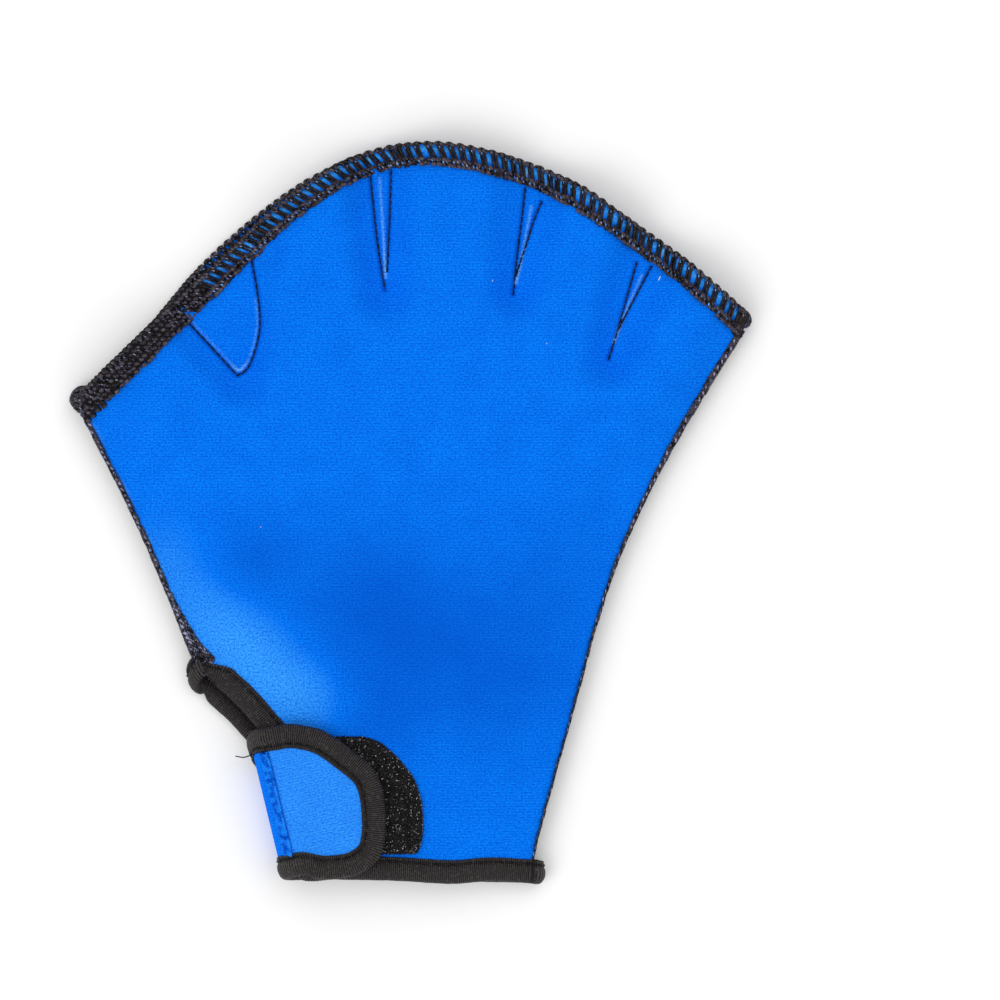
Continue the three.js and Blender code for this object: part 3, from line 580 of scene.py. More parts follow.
# Round thread along each path; side counts the facets round it
def threadMesh(paths, radii, side=6):
    points, faces, plans = [], [], []
    start = 0
    for path, radius in zip(paths, radii):
        path = np.asarray(path, float)
        steps = np.gradient(path, axis=0)
        steps /= np.linalg.norm(steps, axis=1)[:, None] + 1e-9
        guide = np.array([0.31, 0.2, 0.93])
        frames = []
        for step in steps:
            guide = guide - step * guide.dot(step)
            guide = guide / (np.linalg.norm(guide) + 1e-9)
            frames.append((guide, np.cross(step, guide)))
        size = np.broadcast_to(radius, len(path))
        angles = np.arange(side) * 2 * np.pi / side
        travelled = travelAlong(path)
        for i, (u, v) in enumerate(frames):
            turn = np.cos(angles)[:, None] * u + np.sin(angles)[:, None] * v
            points.append(path[i] + size[i] * turn)
            plans.append(np.stack([np.full(side, travelled[i]), angles / (2 * np.pi)], -1))
        for i in range(len(path) - 1):
            for k in range(side):
                at, after = start + i * side, (k + 1) % side
                faces.append((at + k, at + after, at + side + after, at + side + k))
        end = start + (len(path) - 1) * side
        faces.append(tuple(start + k for k in reversed(range(side))))
        faces.append(tuple(end + k for k in range(side)))
        start += len(path) * side
    return np.concatenate(points), faces, np.concatenate(plans)


def threadPiece(name, paths, radii):
    points, faces, plans = threadMesh(paths, radii)
    return makeMesh(name, points, faces, plans)


def smoothPath(points, steps=4):
    points = np.asarray(points, float)
    across = smoothChain(points[:, 0] + 1j * points[:, 1], steps)
    level = smoothChain(points[:, 2] + 0j, steps)
    return np.stack([across.real, across.imag, level.real], -1)


# Node group that puts a unit on every point of a path and makes plain mesh of it
def unitsTree():
    tree = bpy.data.node_groups.new("unitsOnPath", "GeometryNodeTree")
    tree.is_modifier = True
    sockets = [
        ("Geometry", "NodeSocketGeometry"), ("Unit", "NodeSocketObject"),
        ("Wobble", "NodeSocketFloat"), ("Uneven", "NodeSocketFloat"),
        ("Seed", "NodeSocketInt"), ("Finish", "NodeSocketMaterial"),
    ]
    for label, kind in sockets:
        tree.interface.new_socket(label, in_out="INPUT", socket_type=kind)
    tree.interface.new_socket("Geometry", in_out="OUTPUT", socket_type="NodeSocketGeometry")
    given = addNode(tree, "NodeGroupInput").outputs
    along, up, size = [
        fromNode(tree, "GeometryNodeInputNamedAttribute", {"Name": label}, "Attribute",
                 data_type="FLOAT_VECTOR") for label in ("along", "up", "size")]
    facing = fromNode(
        tree, "FunctionNodeAxesToRotation", {"Primary Axis": up, "Secondary Axis": along},
        primary_axis="Z", secondary_axis="X")
    shake = fromNode(tree, "ShaderNodeMath", {0: given["Wobble"], 1: -1.0}, operation="MULTIPLY")
    turn = fromNode(
        tree, "FunctionNodeRandomValue",
        {"Min": shake, "Max": given["Wobble"], "Seed": given["Seed"]}, data_type="FLOAT_VECTOR")
    turned = fromNode(
        tree, "FunctionNodeRotateRotation", {"Rotation": facing, "Rotate By": turn},
        rotation_space="LOCAL")
    less, more = [
        fromNode(tree, "ShaderNodeMath", {0: 1.0, 1: given["Uneven"]}, operation=operation)
        for operation in ("SUBTRACT", "ADD")]
    swell = fromNode(
        tree, "FunctionNodeRandomValue", {2: less, 3: more, "Seed": given["Seed"]}, 1,
        data_type="FLOAT")
    scale = fromNode(
        tree, "ShaderNodeVectorMath", {0: size, "Scale": swell}, operation="SCALE")
    shape = fromNode(tree, "GeometryNodeObjectInfo", {"Object": given["Unit"]}, "Geometry")
    placed = fromNode(tree, "GeometryNodeInstanceOnPoints", {
        "Points": given["Geometry"], "Instance": shape, "Rotation": turned, "Scale": scale})
    chance = fromNode(
        tree, "FunctionNodeRandomValue", {"Seed": given["Seed"]}, 1, data_type="FLOAT")
    shaded = fromNode(
        tree, "GeometryNodeStoreNamedAttribute",
        {"Name": "shade", "Geometry": placed, "Value": chance},
        data_type="FLOAT", domain="INSTANCE")
    real = fromNode(tree, "GeometryNodeRealizeInstances", {"Geometry": shaded})
    done = fromNode(
        tree, "GeometryNodeSetMaterial", {"Geometry": real, "Material": given["Finish"]})
    addNode(tree, "NodeGroupOutput", {"Geometry": done})
    return tree


repeat = unitsTree()


# A unit is modelled in millimetres: x along the path, y into the cloth, z up
def unitObject(name, paths, radii, side=6):
    points, faces, plans = threadMesh(paths, radii, side)
    made = makeMesh(name, points + planMiddle, faces, plans, lying=False)
    made.hide_render = True
    return made


# Units set on points; along and up give each one's place in space
def setUnits(name, units, finish, seed, wobble=0.05, uneven=0.06):
    parts = []
    for k, (unitOf, points, along, up, size, *own) in enumerate(units):
        mesh = bpy.data.meshes.new(name)
        mesh.from_pydata(((points - planMiddle) * 0.001).tolist(), [], [])
        for label, values in (("along", along), ("up", up), ("size", size)):
            layer = mesh.attributes.new(label, "FLOAT_VECTOR", "POINT")
            layer.data.foreach_set("vector", np.asarray(values, np.float32).ravel())
        made = addObject(f"{name}_{k}", mesh)
        modifier = made.modifiers.new("units", "NODES")
        modifier.node_group = repeat
        values = {
            "Unit": unitOf, "Wobble": wobble, "Uneven": uneven, "Seed": seed + k,
            "Finish": own[0] if own else finish,
        }
        for item in repeat.interface.items_tree:
            if item.in_out == "INPUT" and item.name in values:
                modifier[item.identifier] = values[item.name]
        graph = bpy.context.evaluated_depsgraph_get()
        solid = bpy.data.meshes.new_from_object(made.evaluated_get(graph))
        flat = np.zeros(len(solid.vertices) * 3, dtype=np.float32)
        solid.vertices.foreach_get("co", flat)
        flat[2::3] = np.maximum(flat[2::3], floorClear * 0.001)
        solid.vertices.foreach_set("co", flat)
        bpy.data.objects.remove(made)
        parts.append(addObject(name, solid))
    return joined(name, parts)


def joined(name, parts):
    with bpy.context.temp_override(
            active_object=parts[0], selected_objects=parts, selected_editable_objects=parts):
        bpy.ops.object.join()
    parts[0].name = name
    parts[0].data.name = name
    return parts[0]


# Rows of points in space along a line, at even steps, with the directions a unit needs
def alongLine(line, inner, pitch, first=0.0, last=None):
    at = travelAlong(line)
    spots = np.arange(first, at[-1] if last is None else last, pitch)
    points, into = rowsAt(spots, at, line), rowsAt(spots, at, inner - line)
    tangent = np.gradient(line, axis=0) / (np.gradient(at)[:, None] + 1e-9)
    forward = rowsAt(spots, at, tangent)
    forward /= np.linalg.norm(forward, axis=1)[:, None]
    up = np.cross(forward, into)
    up /= np.linalg.norm(up, axis=1)[:, None]
    return points, forward, up


print("sizes and helpers ready")


# Materials

# Scale of a band wave texture with that pitch in millimetres on the cloth's plan
def bandScale(pitch):
    return 2 * math.pi / (20 * pitch * 0.01)


def newMaterial(name, roughness, specular):
    made = bpy.data.materials.new(name)
    made.use_nodes = True
    shader = made.node_tree.nodes["Principled BSDF"]
    shader.inputs["Roughness"].default_value = roughness
    shader.inputs["Specular IOR Level"].default_value = specular
    return made, made.node_tree, shader


def clothPlan(tree):
    return fromNode(tree, "ShaderNodeUVMap", uv_map="clothPlan")


def inSpace(tree):
    return fromNode(tree, "ShaderNodeTexCoord", output="Object")


def shareFrom(tree, name):
    return fromNode(tree, "ShaderNodeAttribute", output="Fac", attribute_name=name)


def noiseOver(tree, place, scale, detail):
    return fromNode(
        tree, "ShaderNodeTexNoise", {"Vector": place, "Scale": scale, "Detail": detail})


def bandsOver(tree, place, way, settings):
    return fromNode(
        tree, "ShaderNodeTexWave", {"Vector": place, **settings}, "Fac",
        wave_type="BANDS", bands_direction=way)


# The range from low to high of a value, drawn out to the range from first to last
def mapRange(tree, value, low, high, first=0.0, last=1.0):
    return fromNode(
        tree, "ShaderNodeMapRange", {0: value, 1: low, 2: high, 3: first, 4: last})


def multiply(tree, first, second, clamp=False):
    return fromNode(
        tree, "ShaderNodeMath", {0: first, 1: second}, operation="MULTIPLY", use_clamp=clamp)


def mixColour(tree, factor, first, second, blend="MIX"):
    both = [colour(value) if isinstance(value, str) else value for value in (first, second)]
    return fromNode(
        tree, "ShaderNodeMix", {0: factor, 6: both[0], 7: both[1]}, 2,
        data_type="RGBA", blend_type=blend)


# Colour of a surface and its bumps, each one a height, a depth in millimetres and a strength
def useSurface(tree, shader, top, bumps):
    tree.links.new(top, shader.inputs["Base Color"])
    before = {}
    for height, depth, strength in bumps:
        before = {"Normal": fromNode(tree, "ShaderNodeBump", {
            "Height": height, "Distance": depth * 0.001, "Strength": strength, **before})}
    tree.links.new(before["Normal"], shader.inputs["Normal"])


# Nylon jersey over neoprene: fine courses across the hand and a grainy surface, with painted light
# and shade read from the cloth's attributes
jerseyLook = {
    "course": 0.78,
    "grain": 0.55,
    "cloud": 9.0,
    "dark": "#005ee2",
    "light": "#0a8cff",
    "rowShade": "#dfe6f2",
    "cloudShade": "#eef1f7",
    # Painted shade in the sewn creases, painted highlight on the ridges, painted light (also the
    # paler window line) and painted shade in soft patches
    "creaseShadeColour": "#002a80",
    "creaseShadeShare": 0.7,
    "ridgeHighlight": "#8ad8ff",
    "taut": "#42aaff",
    "slack": "#0041b4",
}


def jerseyMaterial(name, look):
    made, tree, shader = newMaterial(name, 0.8, 0.02)
    uv = clothPlan(tree)
    courses = bandsOver(
        tree, uv, "Y",
        {"Scale": bandScale(look["course"]), "Distortion": 1.6, "Detail": 2.0, "Detail Scale": 1.4})
    grain = noiseOver(tree, uv, 100 / look["grain"], 3.0)
    cloud = noiseOver(tree, uv, 100 / look["cloud"], 4.0)
    cloth = mixColour(tree, mapRange(tree, grain, 0.32, 0.68), look["dark"], look["light"])
    rows = mixColour(tree, courses, look["rowShade"], "#ffffff")
    tinted = mixColour(tree, 1.0, cloth, rows, "MULTIPLY")
    soft = mixColour(tree, mapRange(tree, cloud, 0.3, 0.7), look["cloudShade"], "#ffffff")
    plain = mixColour(tree, 1.0, tinted, soft, "MULTIPLY")
    # Painted light and painted shade in soft patches, painted shade in the sewn creases and painted
    # highlights on the ridges
    paintedLightShare = multiply(
        tree, shareFrom(tree, "taut"), mapRange(tree, grain, 0.36, 0.64, 0.4, 1.6), True)
    paintedLightCloth = mixColour(tree, paintedLightShare, plain, look["taut"])
    paintedShadeCloth = mixColour(tree, shareFrom(tree, "slack"), paintedLightCloth, look["slack"])
    deep = multiply(tree, shareFrom(tree, "sunk"), look["creaseShadeShare"])
    creaseShaded = mixColour(tree, deep, paintedShadeCloth, look["creaseShadeColour"])
    bright = multiply(tree, shareFrom(tree, "lit"), mapRange(tree, grain, 0.34, 0.66, 0.1))
    top = mixColour(tree, bright, creaseShaded, look["ridgeHighlight"])
    useSurface(tree, shader, top, [(courses, 0.1, 0.35), (grain, 0.16, 0.5)])
    return made


# Spun polyester thread: twisted plies, a little fuzz, each stitch a shade of its own
def threadMaterial(name, dark, light, pale=None, shine=0.14):
    made, tree, shader = newMaterial(name, 0.5, shine)
    laid = fromNode(
        tree, "ShaderNodeMapping", {"Vector": clothPlan(tree), "Scale": (95, 100, 0)})
    plies = bandsOver(
        tree, laid, "DIAGONAL", {"Scale": 0.628, "Distortion": 0.8, "Detail": 1.0})
    place = inSpace(tree)
    fuzz = noiseOver(tree, place, 2200.0, 2.0)
    lumpy = mapRange(tree, noiseOver(tree, place, 620.0, 1.0), 0.38, 0.62, -0.25, 0.75)
    both = fromNode(
        tree, "ShaderNodeMath", {0: shareFrom(tree, "shade"), 1: 0.5, 2: lumpy},
        operation="MULTIPLY_ADD", use_clamp=True)
    mixed = mixColour(tree, both, dark, light)
    top = mixColour(tree, mapRange(tree, fuzz, 0.56, 0.72, 0.0, 0.6), mixed, pale or light)
    useSurface(tree, shader, top, [(plies, 0.12, 0.8), (fuzz, 0.1, 0.5)])
    return made


# Folded knit tape: close ribs across its length
def tapeMaterial(name):
    made, tree, shader = newMaterial(name, 0.5, 0.16)
    ribs = bandsOver(
        tree, clothPlan(tree), "X",
        {"Scale": bandScale(0.58), "Distortion": 0.7, "Detail": 1.0, "Detail Scale": 2.0})
    fuzz = noiseOver(tree, inSpace(tree), 1500.0, 3.0)
    ribbed = mixColour(tree, ribs, "#080808", "#433e3e")
    top = mixColour(tree, mapRange(tree, fuzz, 0.52, 0.8, 0.0, 0.5), ribbed, "#6e6869")
    useSurface(tree, shader, top, [(ribs, 0.38, 0.95), (fuzz, 0.12, 0.5)])
    return made


# Looped pile and its woven ground: black, with a few loops that catch the light
def pileMaterial(name, stops):
    made, tree, shader = newMaterial(name, 0.5, 0.2)
    ramp = addNode(tree, "ShaderNodeValToRGB", {"Fac": shareFrom(tree, "shade")})
    band = ramp.color_ramp
    for k, (at, text) in enumerate(stops):
        stop = band.elements[k] if k < 2 else band.elements.new(at)
        stop.position = at
        stop.color = colour(text)
    fuzz = noiseOver(tree, inSpace(tree), 1800.0, 2.0)
    useSurface(tree, shader, ramp.outputs[0], [(fuzz, 0.15, 0.6)])
    return made


jersey = jerseyMaterial("blueJersey", jerseyLook)
# A lighter copy of the jersey for the raised strap: painted light
strapJersey = jerseyMaterial("strapJersey", {**jerseyLook, "dark": "#1676f2", "light": "#3da6ff"})
# Darker copies of the black thread for the strands under the stitches and the cord between the
# rows: painted shade
shadedUnderThread = threadMaterial("shadedThread", "#060507", "#211b1e")
shadedStrandThread = threadMaterial("blackStrandThread", "#050405", "#2b2124", "#55494e")
tapeThread = threadMaterial("blackTapeThread", "#060507", "#1d1b1d")
blackThread = threadMaterial("blackOverlockThread", "#0b0a0d", "#49434d", "#87829a")
stitchThread = threadMaterial("blackSewingThread", "#030922", "#102250")
greyThread = threadMaterial("greyLooperThread", "#41465f", "#959bb8", "#cbd0e2")
blueThread = threadMaterial("blueSeamThread", "#0050c8", "#1a86f6", None, 0.03)
skyThread = threadMaterial("paleBlueThread", "#2a66cc", "#6fb8ff", "#a9d4f6", 0.05)
whiteLint = threadMaterial("whiteLint", "#dfe6ee", "#ffffff")
tape = tapeMaterial("blackKnitTape")
pile = pileMaterial("blackPile", [
    (0.0, "#040404"), (0.6, "#0c0b0c"), (0.86, "#232123"), (0.97, "#4a4649"), (1.0, "#8e8a90")])
glint = pileMaterial("paleLoopFibre", [(0.0, "#29262a"), (0.6, "#625d64"), (1.0, "#c4c0c8")])
hooks = pileMaterial("hookTape", [(0.0, "#0c0c0d"), (1.0, "#26262a")])


def dress(piece, finish, nodes=()):
    if finish:
        piece.data.materials.clear()
        piece.data.materials.append(finish)
    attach(piece, "root")
    if nodes:
        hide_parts(*nodes)
    return piece


# Upper and lower panels, the lower one with the neck of the strap round its fold
panels = {"spacing": 1.3, "edge": 1.0, "fine": 0.42, "fineReach": 2.6, "strapSpacing": 0.9}


def clothFrom(name, fill, place, loop, half, marked=False):
    return clothPiece(name, [(*fill, place, closed(loop), None)], half, marked=marked)


turnArc = np.array([turnPoint(share, fold["notchRadius"]) for share in np.linspace(0.5, 0, 5)])
upperLoop = evenLoop([
    fingerUpper, outerChain, upperWristChain[::-1], [slitEnd, slitTop],
    upperNotchChain[::-1], upperThumbSide[::-1]], panels["edge"])
upperFill = fillLoop(
    upperLoop, panels["spacing"], [*sewn.values(), *ridgeLines, *overDarts],
    panels["fine"], panels["fineReach"])
upperPanel = clothFrom(
    "upperPanelCloth", upperFill, placeUpper, upperLoop, halfCloth, marked=True)

handPart = evenLoop([fingerLower, outerChain, lowerWristChain[::-1]], panels["edge"])
foldPart = evenLoop([[foldStop, foldStart]], panels["edge"])
notchPart = evenLoop(
    [[foldStart, neckInner], turnArc, lowerNotchChain[::-1], lowerThumbSide[::-1]], panels["edge"])
lowerLoop = np.concatenate([handPart, foldPart, notchPart])
lowerOpen = np.concatenate([[foldStart], notchPart[1:], handPart, [foldStop]])
neckReach = seamMiddle - strap["gap"] / 2
acrossNeck = np.linspace(0, neckReach, 24)
downNeck = np.linspace(0, 1, 40)
neckLoop = np.concatenate([
    evenLoop([[0j, foldLine * 1j]], panels["edge"]),
    evenLoop([neckPoint(acrossNeck, 1), neckPoint(neckReach, downNeck[::-1]),
              neckPoint(acrossNeck[::-1], 0)], panels["edge"] * 0.8)])
neckOpen = np.concatenate([
    neckPoint(acrossNeck[::-1], 0)[::-1], neckPoint(neckReach, downNeck),
    neckPoint(acrossNeck[::-1], 1)])
lowerPanel = clothPiece(
    "lowerPanelCloth", [
        (*fillLoop(lowerLoop, panels["spacing"]), placeLower, lowerOpen,
         np.array([foldStart, foldStop])),
        (*fillLoop(neckLoop, panels["strapSpacing"]), placeFolded, neckOpen,
         np.array([0j, foldLine * 1j])),
    ], halfCloth)
dress(upperPanel, jersey, ["upper_panel"])
dress(lowerPanel, jersey, ["lower_panel"])
print("panels made")

# Strap folded over onto the upper panel
strapReach = seamMiddle + strap["gap"] / 2
acrossStrap = np.linspace(strapReach, foldLength, 8)
strapLoop = evenLoop([
    neckPoint(acrossStrap, 0), strapUpper, strapTip, strapLower[::-1],
    neckPoint(acrossStrap[::-1], 1), neckPoint(strapReach, downNeck[::-1])], 0.8)
strapFill = fillLoop(strapLoop, panels["strapSpacing"])
strapCloth = clothFrom("strapCloth", strapFill, placeFolded, strapLoop, halfCloth)
dress(strapCloth, strapJersey, ["wrist_strap"])

# Overlocked finger edges: slanted strands over the rim, plump stitches along both their
# ends, pale specks between; near the thumb the stitches lie so close that they cover the
# strands. Zones run in this order along the edge, each until its length or short of the end.
# A row is in from the rim, along, length, radius and tilt; a speck is in, along and radius.
# Where the pitch is very short the specks keep the open zone's distance.
overlock = {
    "slant": 0.46,
    "rim": 0.4,
    # The shade cord: a dark cord between the rows that paints shade into the gaps; in from the rim,
    # radius, places along
    "ground": {"in": 4.85, "radius": 0.55, "at": (-1.6, -0.5, 0.5, 1.6)},
    "lift": 0.34,
    "zones": {
        "dense": {
            "pitch": 1.65, "thread": 0.42, "strands": [-0.6, 0, 0.6], "reach": 5.2, "until": 51},
        "narrow": {
            "pitch": 2.6, "thread": 0.4, "strands": [-0.46, 0.46], "reach": 5.5, "until": 90},
        "open": {
            "pitch": 3.1, "thread": 0.42, "strands": [-0.5, 0.5], "reach": 5.5, "short": 5},
        "end": {"pitch": 1.7, "thread": 0.42, "strands": [-0.5, 0.1], "reach": 5.5},
    },
    "short": 0.8,
    "rowsOpen": [
        (0.1, -0.78, 0.8, 0.42, 0.6), (0.1, 0.78, 0.8, 0.42, 0.6), (4.1, 0, 0.75, 0.52, 0.4),
        (4.1, 1.55, 0.75, 0.52, 0.4), (5.5, -0.78, 0.8, 0.54, 0.3), (5.5, 0.78, 0.8, 0.54, 0.3),
    ],
    "rowsDense": [
        (0.05, 0, 0.8, 0.52, 0.5), (1.45, 0.8, 0.7, 0.5, 0.5), (2.85, 0, 0.75, 0.5, 0.4),
        (4.25, 0.8, 0.7, 0.5, 0.4), (5.6, 0, 0.8, 0.5, 0.2),
    ],
    "specksOpen": [(4.8, 0.7, 0.18), (4.75, 2.3, 0.18), (0.75, 0.1, 0.13)],
    "specksDense": [(2.15, 0.1, 0.16), (3.55, 0.9, 0.14), (0.8, 0.5, 0.15)],
    "speckShare": {"open": 0.85, "narrow": 0.75, "dense": 0.4, "end": 0.3},
    "speck": {"long": 0.34, "tilt": 1.4, "above": 0.3, "greyShare": 0.4, "closest": 0.6},
    "start": 0.6,
    "chord": 5.8,
    "swing": [(0, 0.7), (7, 0)],
    "swingLast": [(0, 0.3), (6, 0)],
    "sink": 0.3,
    "wider": 0.14,
    "widerUntil": 85,
}
level = halfCloth + 0.33
rowLevel = level + overlock["lift"]


def strandPath(x, width, level, rim, slant):
    over = [
        (x - slant * width, width + 0.2, level - 0.5),
        (x - slant * width * 0.95, width * 0.93, level),
        (x - slant * width * 0.5, width * 0.5, level + 0.05), (x - slant * 0.4, 0.4, level),
        (x, -0.25, level - 0.35), (x + 0.1, -rim, level * 0.35),
    ]
    return smoothPath(over + [(p[0], p[1], -p[2]) for p in reversed(over)], 2)


# A plump stitch at (x, y), as long as given, tilted by so much across its length
def beadPath(x, y, long, tilt, lift):
    half = long / 2
    return smoothPath([
        (x - half, y + tilt * half, lift - 0.38),
        (x - half * 0.5, y + tilt * half * 0.6, lift),
        (x + half * 0.5, y - tilt * half * 0.6, lift),
        (x + half, y - tilt * half, lift - 0.38)], 2)


# Strands over the rim, a short thread round it and, in the open zones, a dark cord between the rows
# that darkens the gaps: painted shade
def strandUnit(name, zone, sink, ground):
    slant = overlock["slant"]
    paths = [strandPath(x, zone["reach"], level - sink, overlock["rim"], slant)
             for x in zone["strands"]]
    paths.append(smoothPath(
        [(-0.8, -0.35, 0.5), (-0.2, -0.6, 0.2), (0.4, -0.6, -0.2), (0.9, -0.35, -0.5)], 2))
    radii = [zone["thread"]] * len(paths)
    if ground:
        for side in (1, -1):
            paths.append(smoothPath([(x - slant * ground["in"], ground["in"], (level - 0.2) * side)
                                     for x in ground["at"]], 1))
            radii.append(ground["radius"])
    return unitObject(name, paths, radii, 5)


# Rows of stitches on both faces, drawn together along the edge with the zone's pitch
def rowsUnit(name, rows, closer, facets):
    paths, radii = [], []
    for side in (1, -1):
        for y, x, long, thick, tilt in rows:
            bead = beadPath(x * closer - overlock["slant"] * y, y, long, tilt, rowLevel)
            paths.append(bead * np.array([1, 1, side]))
            radii.append(thick)
    return unitObject(name, paths, radii, facets)


# A short bright bit of thread or cloth that shows between the stitches
def speckUnit(name, row, closer):
    y, x, thick = row
    speck = overlock["speck"]
    middle = x * closer - overlock["slant"] * y
    bead = beadPath(middle, y, speck["long"], speck["tilt"], rowLevel + speck["above"])
    return unitObject(name, [bead], [thick], 5)


zoneUnits, zoneRows, zoneSpecks = {}, {}, {}
for label, zone in overlock["zones"].items():
    closer = zone["pitch"] / overlock["zones"]["open"]["pitch"]
    apart = closer if closer > overlock["speck"]["closest"] else 1
    dense = label == "dense"
    sink, ground = (overlock["sink"], None) if dense else (0, overlock["ground"])
    zoneUnits[label] = strandUnit(label + "Unit", zone, sink, ground)
    zoneSpecks[label] = [
        speckUnit(f"{label}Speck{k}Unit", row, apart)
        for k, row in enumerate(overlock["specksDense" if dense else "specksOpen"])]
    if dense:
        zoneRows[label] = [rowsUnit(f"denseRow{k}Unit", [row], 1, 6)
                           for k, row in enumerate(overlock["rowsDense"])]
    else:
        zoneRows[label] = [rowsUnit(label + "RowsUnit", overlock["rowsOpen"], closer, 5)]


def edgeThreads(name, chain, place, seed):
    line = place(chain)
    inner = place(chain + normalsOf(chain, -1) * overlock["chord"])
    total = travelAlong(line)[-1]
    chance = np.random.default_rng(seed)
    units, start = [], overlock["start"]
    for label, zone in overlock["zones"].items():
        dense = label == "dense"
        stop = min(zone.get("until", total), total - zone.get("short", overlock["short"]))
        points, along, up = alongLine(line, inner, zone["pitch"], start, stop)
        near = 1 - ease(np.linspace(start, stop, len(points)) / overlock["widerUntil"])
        size = np.ones(points.shape)
        size[:, 1] += overlock["wider"] * near
        at = start + zone["pitch"] * np.arange(len(points))
        swing = np.interp(at, *zip(*overlock["swing"]))
        swing += np.interp(total - at, *zip(*overlock["swingLast"]))
        into = np.cross(up, along)
        ahead = along * np.cos(swing)[:, None] + into * np.sin(swing)[:, None]
        # Strands take darker copies of the black thread: painted shade under the stitches
        cover = shadedUnderThread if dense else shadedStrandThread
        units.append((zoneUnits[label], points, -ahead, -up, size, cover))
        units += [(shape, points, -ahead, -up, size, blackThread) for shape in zoneRows[label]]
        for shape in zoneSpecks[label]:
            kept = chance.random(len(points)) < overlock["speckShare"][label]
            grey = dense or chance.random() < overlock["speck"]["greyShare"]
            units.append((shape, points[kept], -ahead[kept], -up[kept], size[kept],
                          greyThread if grey else skyThread))
        start = start + zone["pitch"] * len(points)
    return setUnits(name, units, blackThread, seed, 0.03, 0.06)


upperThreads = edgeThreads("upperEdgeThreads", fingerUpper, placeUpper, 11)
lowerThreads = edgeThreads("lowerEdgeThreads", fingerLower, placeLower, 31)
dress(upperThreads, None, ["upper_finger_edge"])
dress(lowerThreads, None, ["lower_finger_edge"])
print("overlocked edges made")

# Side seams: a fine chain over both panels' edges, with pale threads showing in it; at the
# wrist the thumb's seam opens to a wide fan of stitches. Widths are factors at shares of the
# seam's length, the fan's are millimetres.
sideSeams = {
    "thumbSeam": {
        "pitch": 1.7, "width": 1.15, "thread": 0.3, "pale": 0.36, "from": 3.6, "short": 0,
        "widths": [(0, 0.95), (0.1, 0.75), (0.7, 0.85), (0.84, 1.1), (1, 1.4)],
        "fan": [(0.72, 1.2), (0.8, 1.9), (0.88, 3.0), (0.95, 4.3), (1, 5.1)],
    },
    "outerSeam": {
        "pitch": 2.15, "width": 1.15, "thread": 0.3, "pale": 0.28, "from": 2, "short": 3.5,
        "widths": [(0, 0.3), (0.3, 0.3), (0.6, 0.55), (0.8, 0.9), (1, 1.1)],
        "fan": [],
    },
    "slant": 0.12,
    "rim": 0.2,
    "gap": 0.9,
    "fanPitch": 0.62,
    "fanSlant": 0.35,
    "rowStep": 0.8,
    "paleShare": 0.42,
}
seamLevel = glove["cloth"] + sideSeams["gap"] / 2 + 0.22


def seamThreads(name, chain, seed):
    look = sideSeams[name]
    pitch, width, thread = look["pitch"], look["width"], look["thread"]
    paths = [strandPath(x * pitch, width, seamLevel - 0.1, sideSeams["rim"], sideSeams["slant"])
             for x in (-0.375, -0.125, 0.125, 0.375)]
    paths += [beadPath(x, y, pitch * 0.36, 0.35, seamLevel + 0.12)
              for y in (width, 0) for x in (-pitch / 4, pitch / 4)]
    chainUnit = unitObject(name + "Unit", paths, [thread] * len(paths), 5)
    paleUnit = unitObject(name + "PaleUnit", [
        beadPath(pitch / 2, width * 0.5, pitch * 0.4, -0.5, seamLevel + 0.26)], [look["pale"]])
    inward = normalsOf(chain, 1)
    line = (placeUpper(chain) + placeLower(chain)) / 2
    inner = (placeUpper(chain + inward * 2) + placeLower(chain + inward * 2)) / 2
    total = travelAlong(line)[-1]
    points, along, up = alongLine(line, inner, pitch, look["from"], total - look["short"])
    size = np.ones(points.shape)
    size[:, 1] = np.interp(np.linspace(0, 1, len(points)), *zip(*look["widths"]))
    black = setUnits(name + "Threads", [(chainUnit, points, along, up, size)], blackThread, seed)
    pale = setUnits(
        name + "Pale", [(paleUnit, points, along, up, size)], greyThread, seed + 5, 0.1, 0.04)
    if look["fan"]:
        fan = seamFan(name, chain, look["fan"], seed)
        black, pale = joined(black.name, [black, fan[0]]), joined(pale.name, [pale, fan[1]])
    return black, pale


# Strands laid side by side from the rim to a growing width, and rows of stitches on them
def seamFan(name, chain, table, seed):
    chance = np.random.default_rng(seed)
    at = lengthsAlong(chain)
    inward = normalsOf(chain, 1)
    strands, stitches, specks = [], [], []
    slant = sideSeams["fanSlant"]
    for k, spotAt in enumerate(np.arange(table[0][0] * at[-1], at[-1], sideSeams["fanPitch"])):
        base = walk(chain, spotAt)
        into = np.interp(spotAt, at, inward.real) + 1j * np.interp(spotAt, at, inward.imag)
        ahead = into * -1j
        wide = np.interp(spotAt / at[-1], *zip(*table))
        y = np.linspace(-0.25, wide, 7)
        spread = base + into * y - ahead * y * slant
        strand = placeUpper(spread, halfCloth + 0.2)
        strand[0, 2] -= 0.5
        strand[-1, 2] -= 0.4
        strands.append(smoothPath(strand, 2))
        row = 0.15 + (k % 2) * sideSeams["rowStep"] / 2
        while row < wide - 0.2:
            middle = base + into * (row + chance.uniform(-0.12, 0.12)) - ahead * row * slant
            turn = ahead * np.exp(1j * chance.uniform(-0.5, 0.5))
            bead = middle + turn * np.array([-0.38, -0.2, 0.2, 0.38])
            path = placeUpper(bead, halfCloth + 0.48)
            path[[0, -1], 2] -= 0.3
            kind = specks if chance.random() < sideSeams["paleShare"] else stitches
            kind.append(smoothPath(path, 2))
            row += sideSeams["rowStep"]
    parts = (("Fan", strands + stitches, 0.27), ("FanPale", specks, 0.17))
    return [threadPiece(name + label, paths, [radius] * len(paths))
            for label, paths, radius in parts]


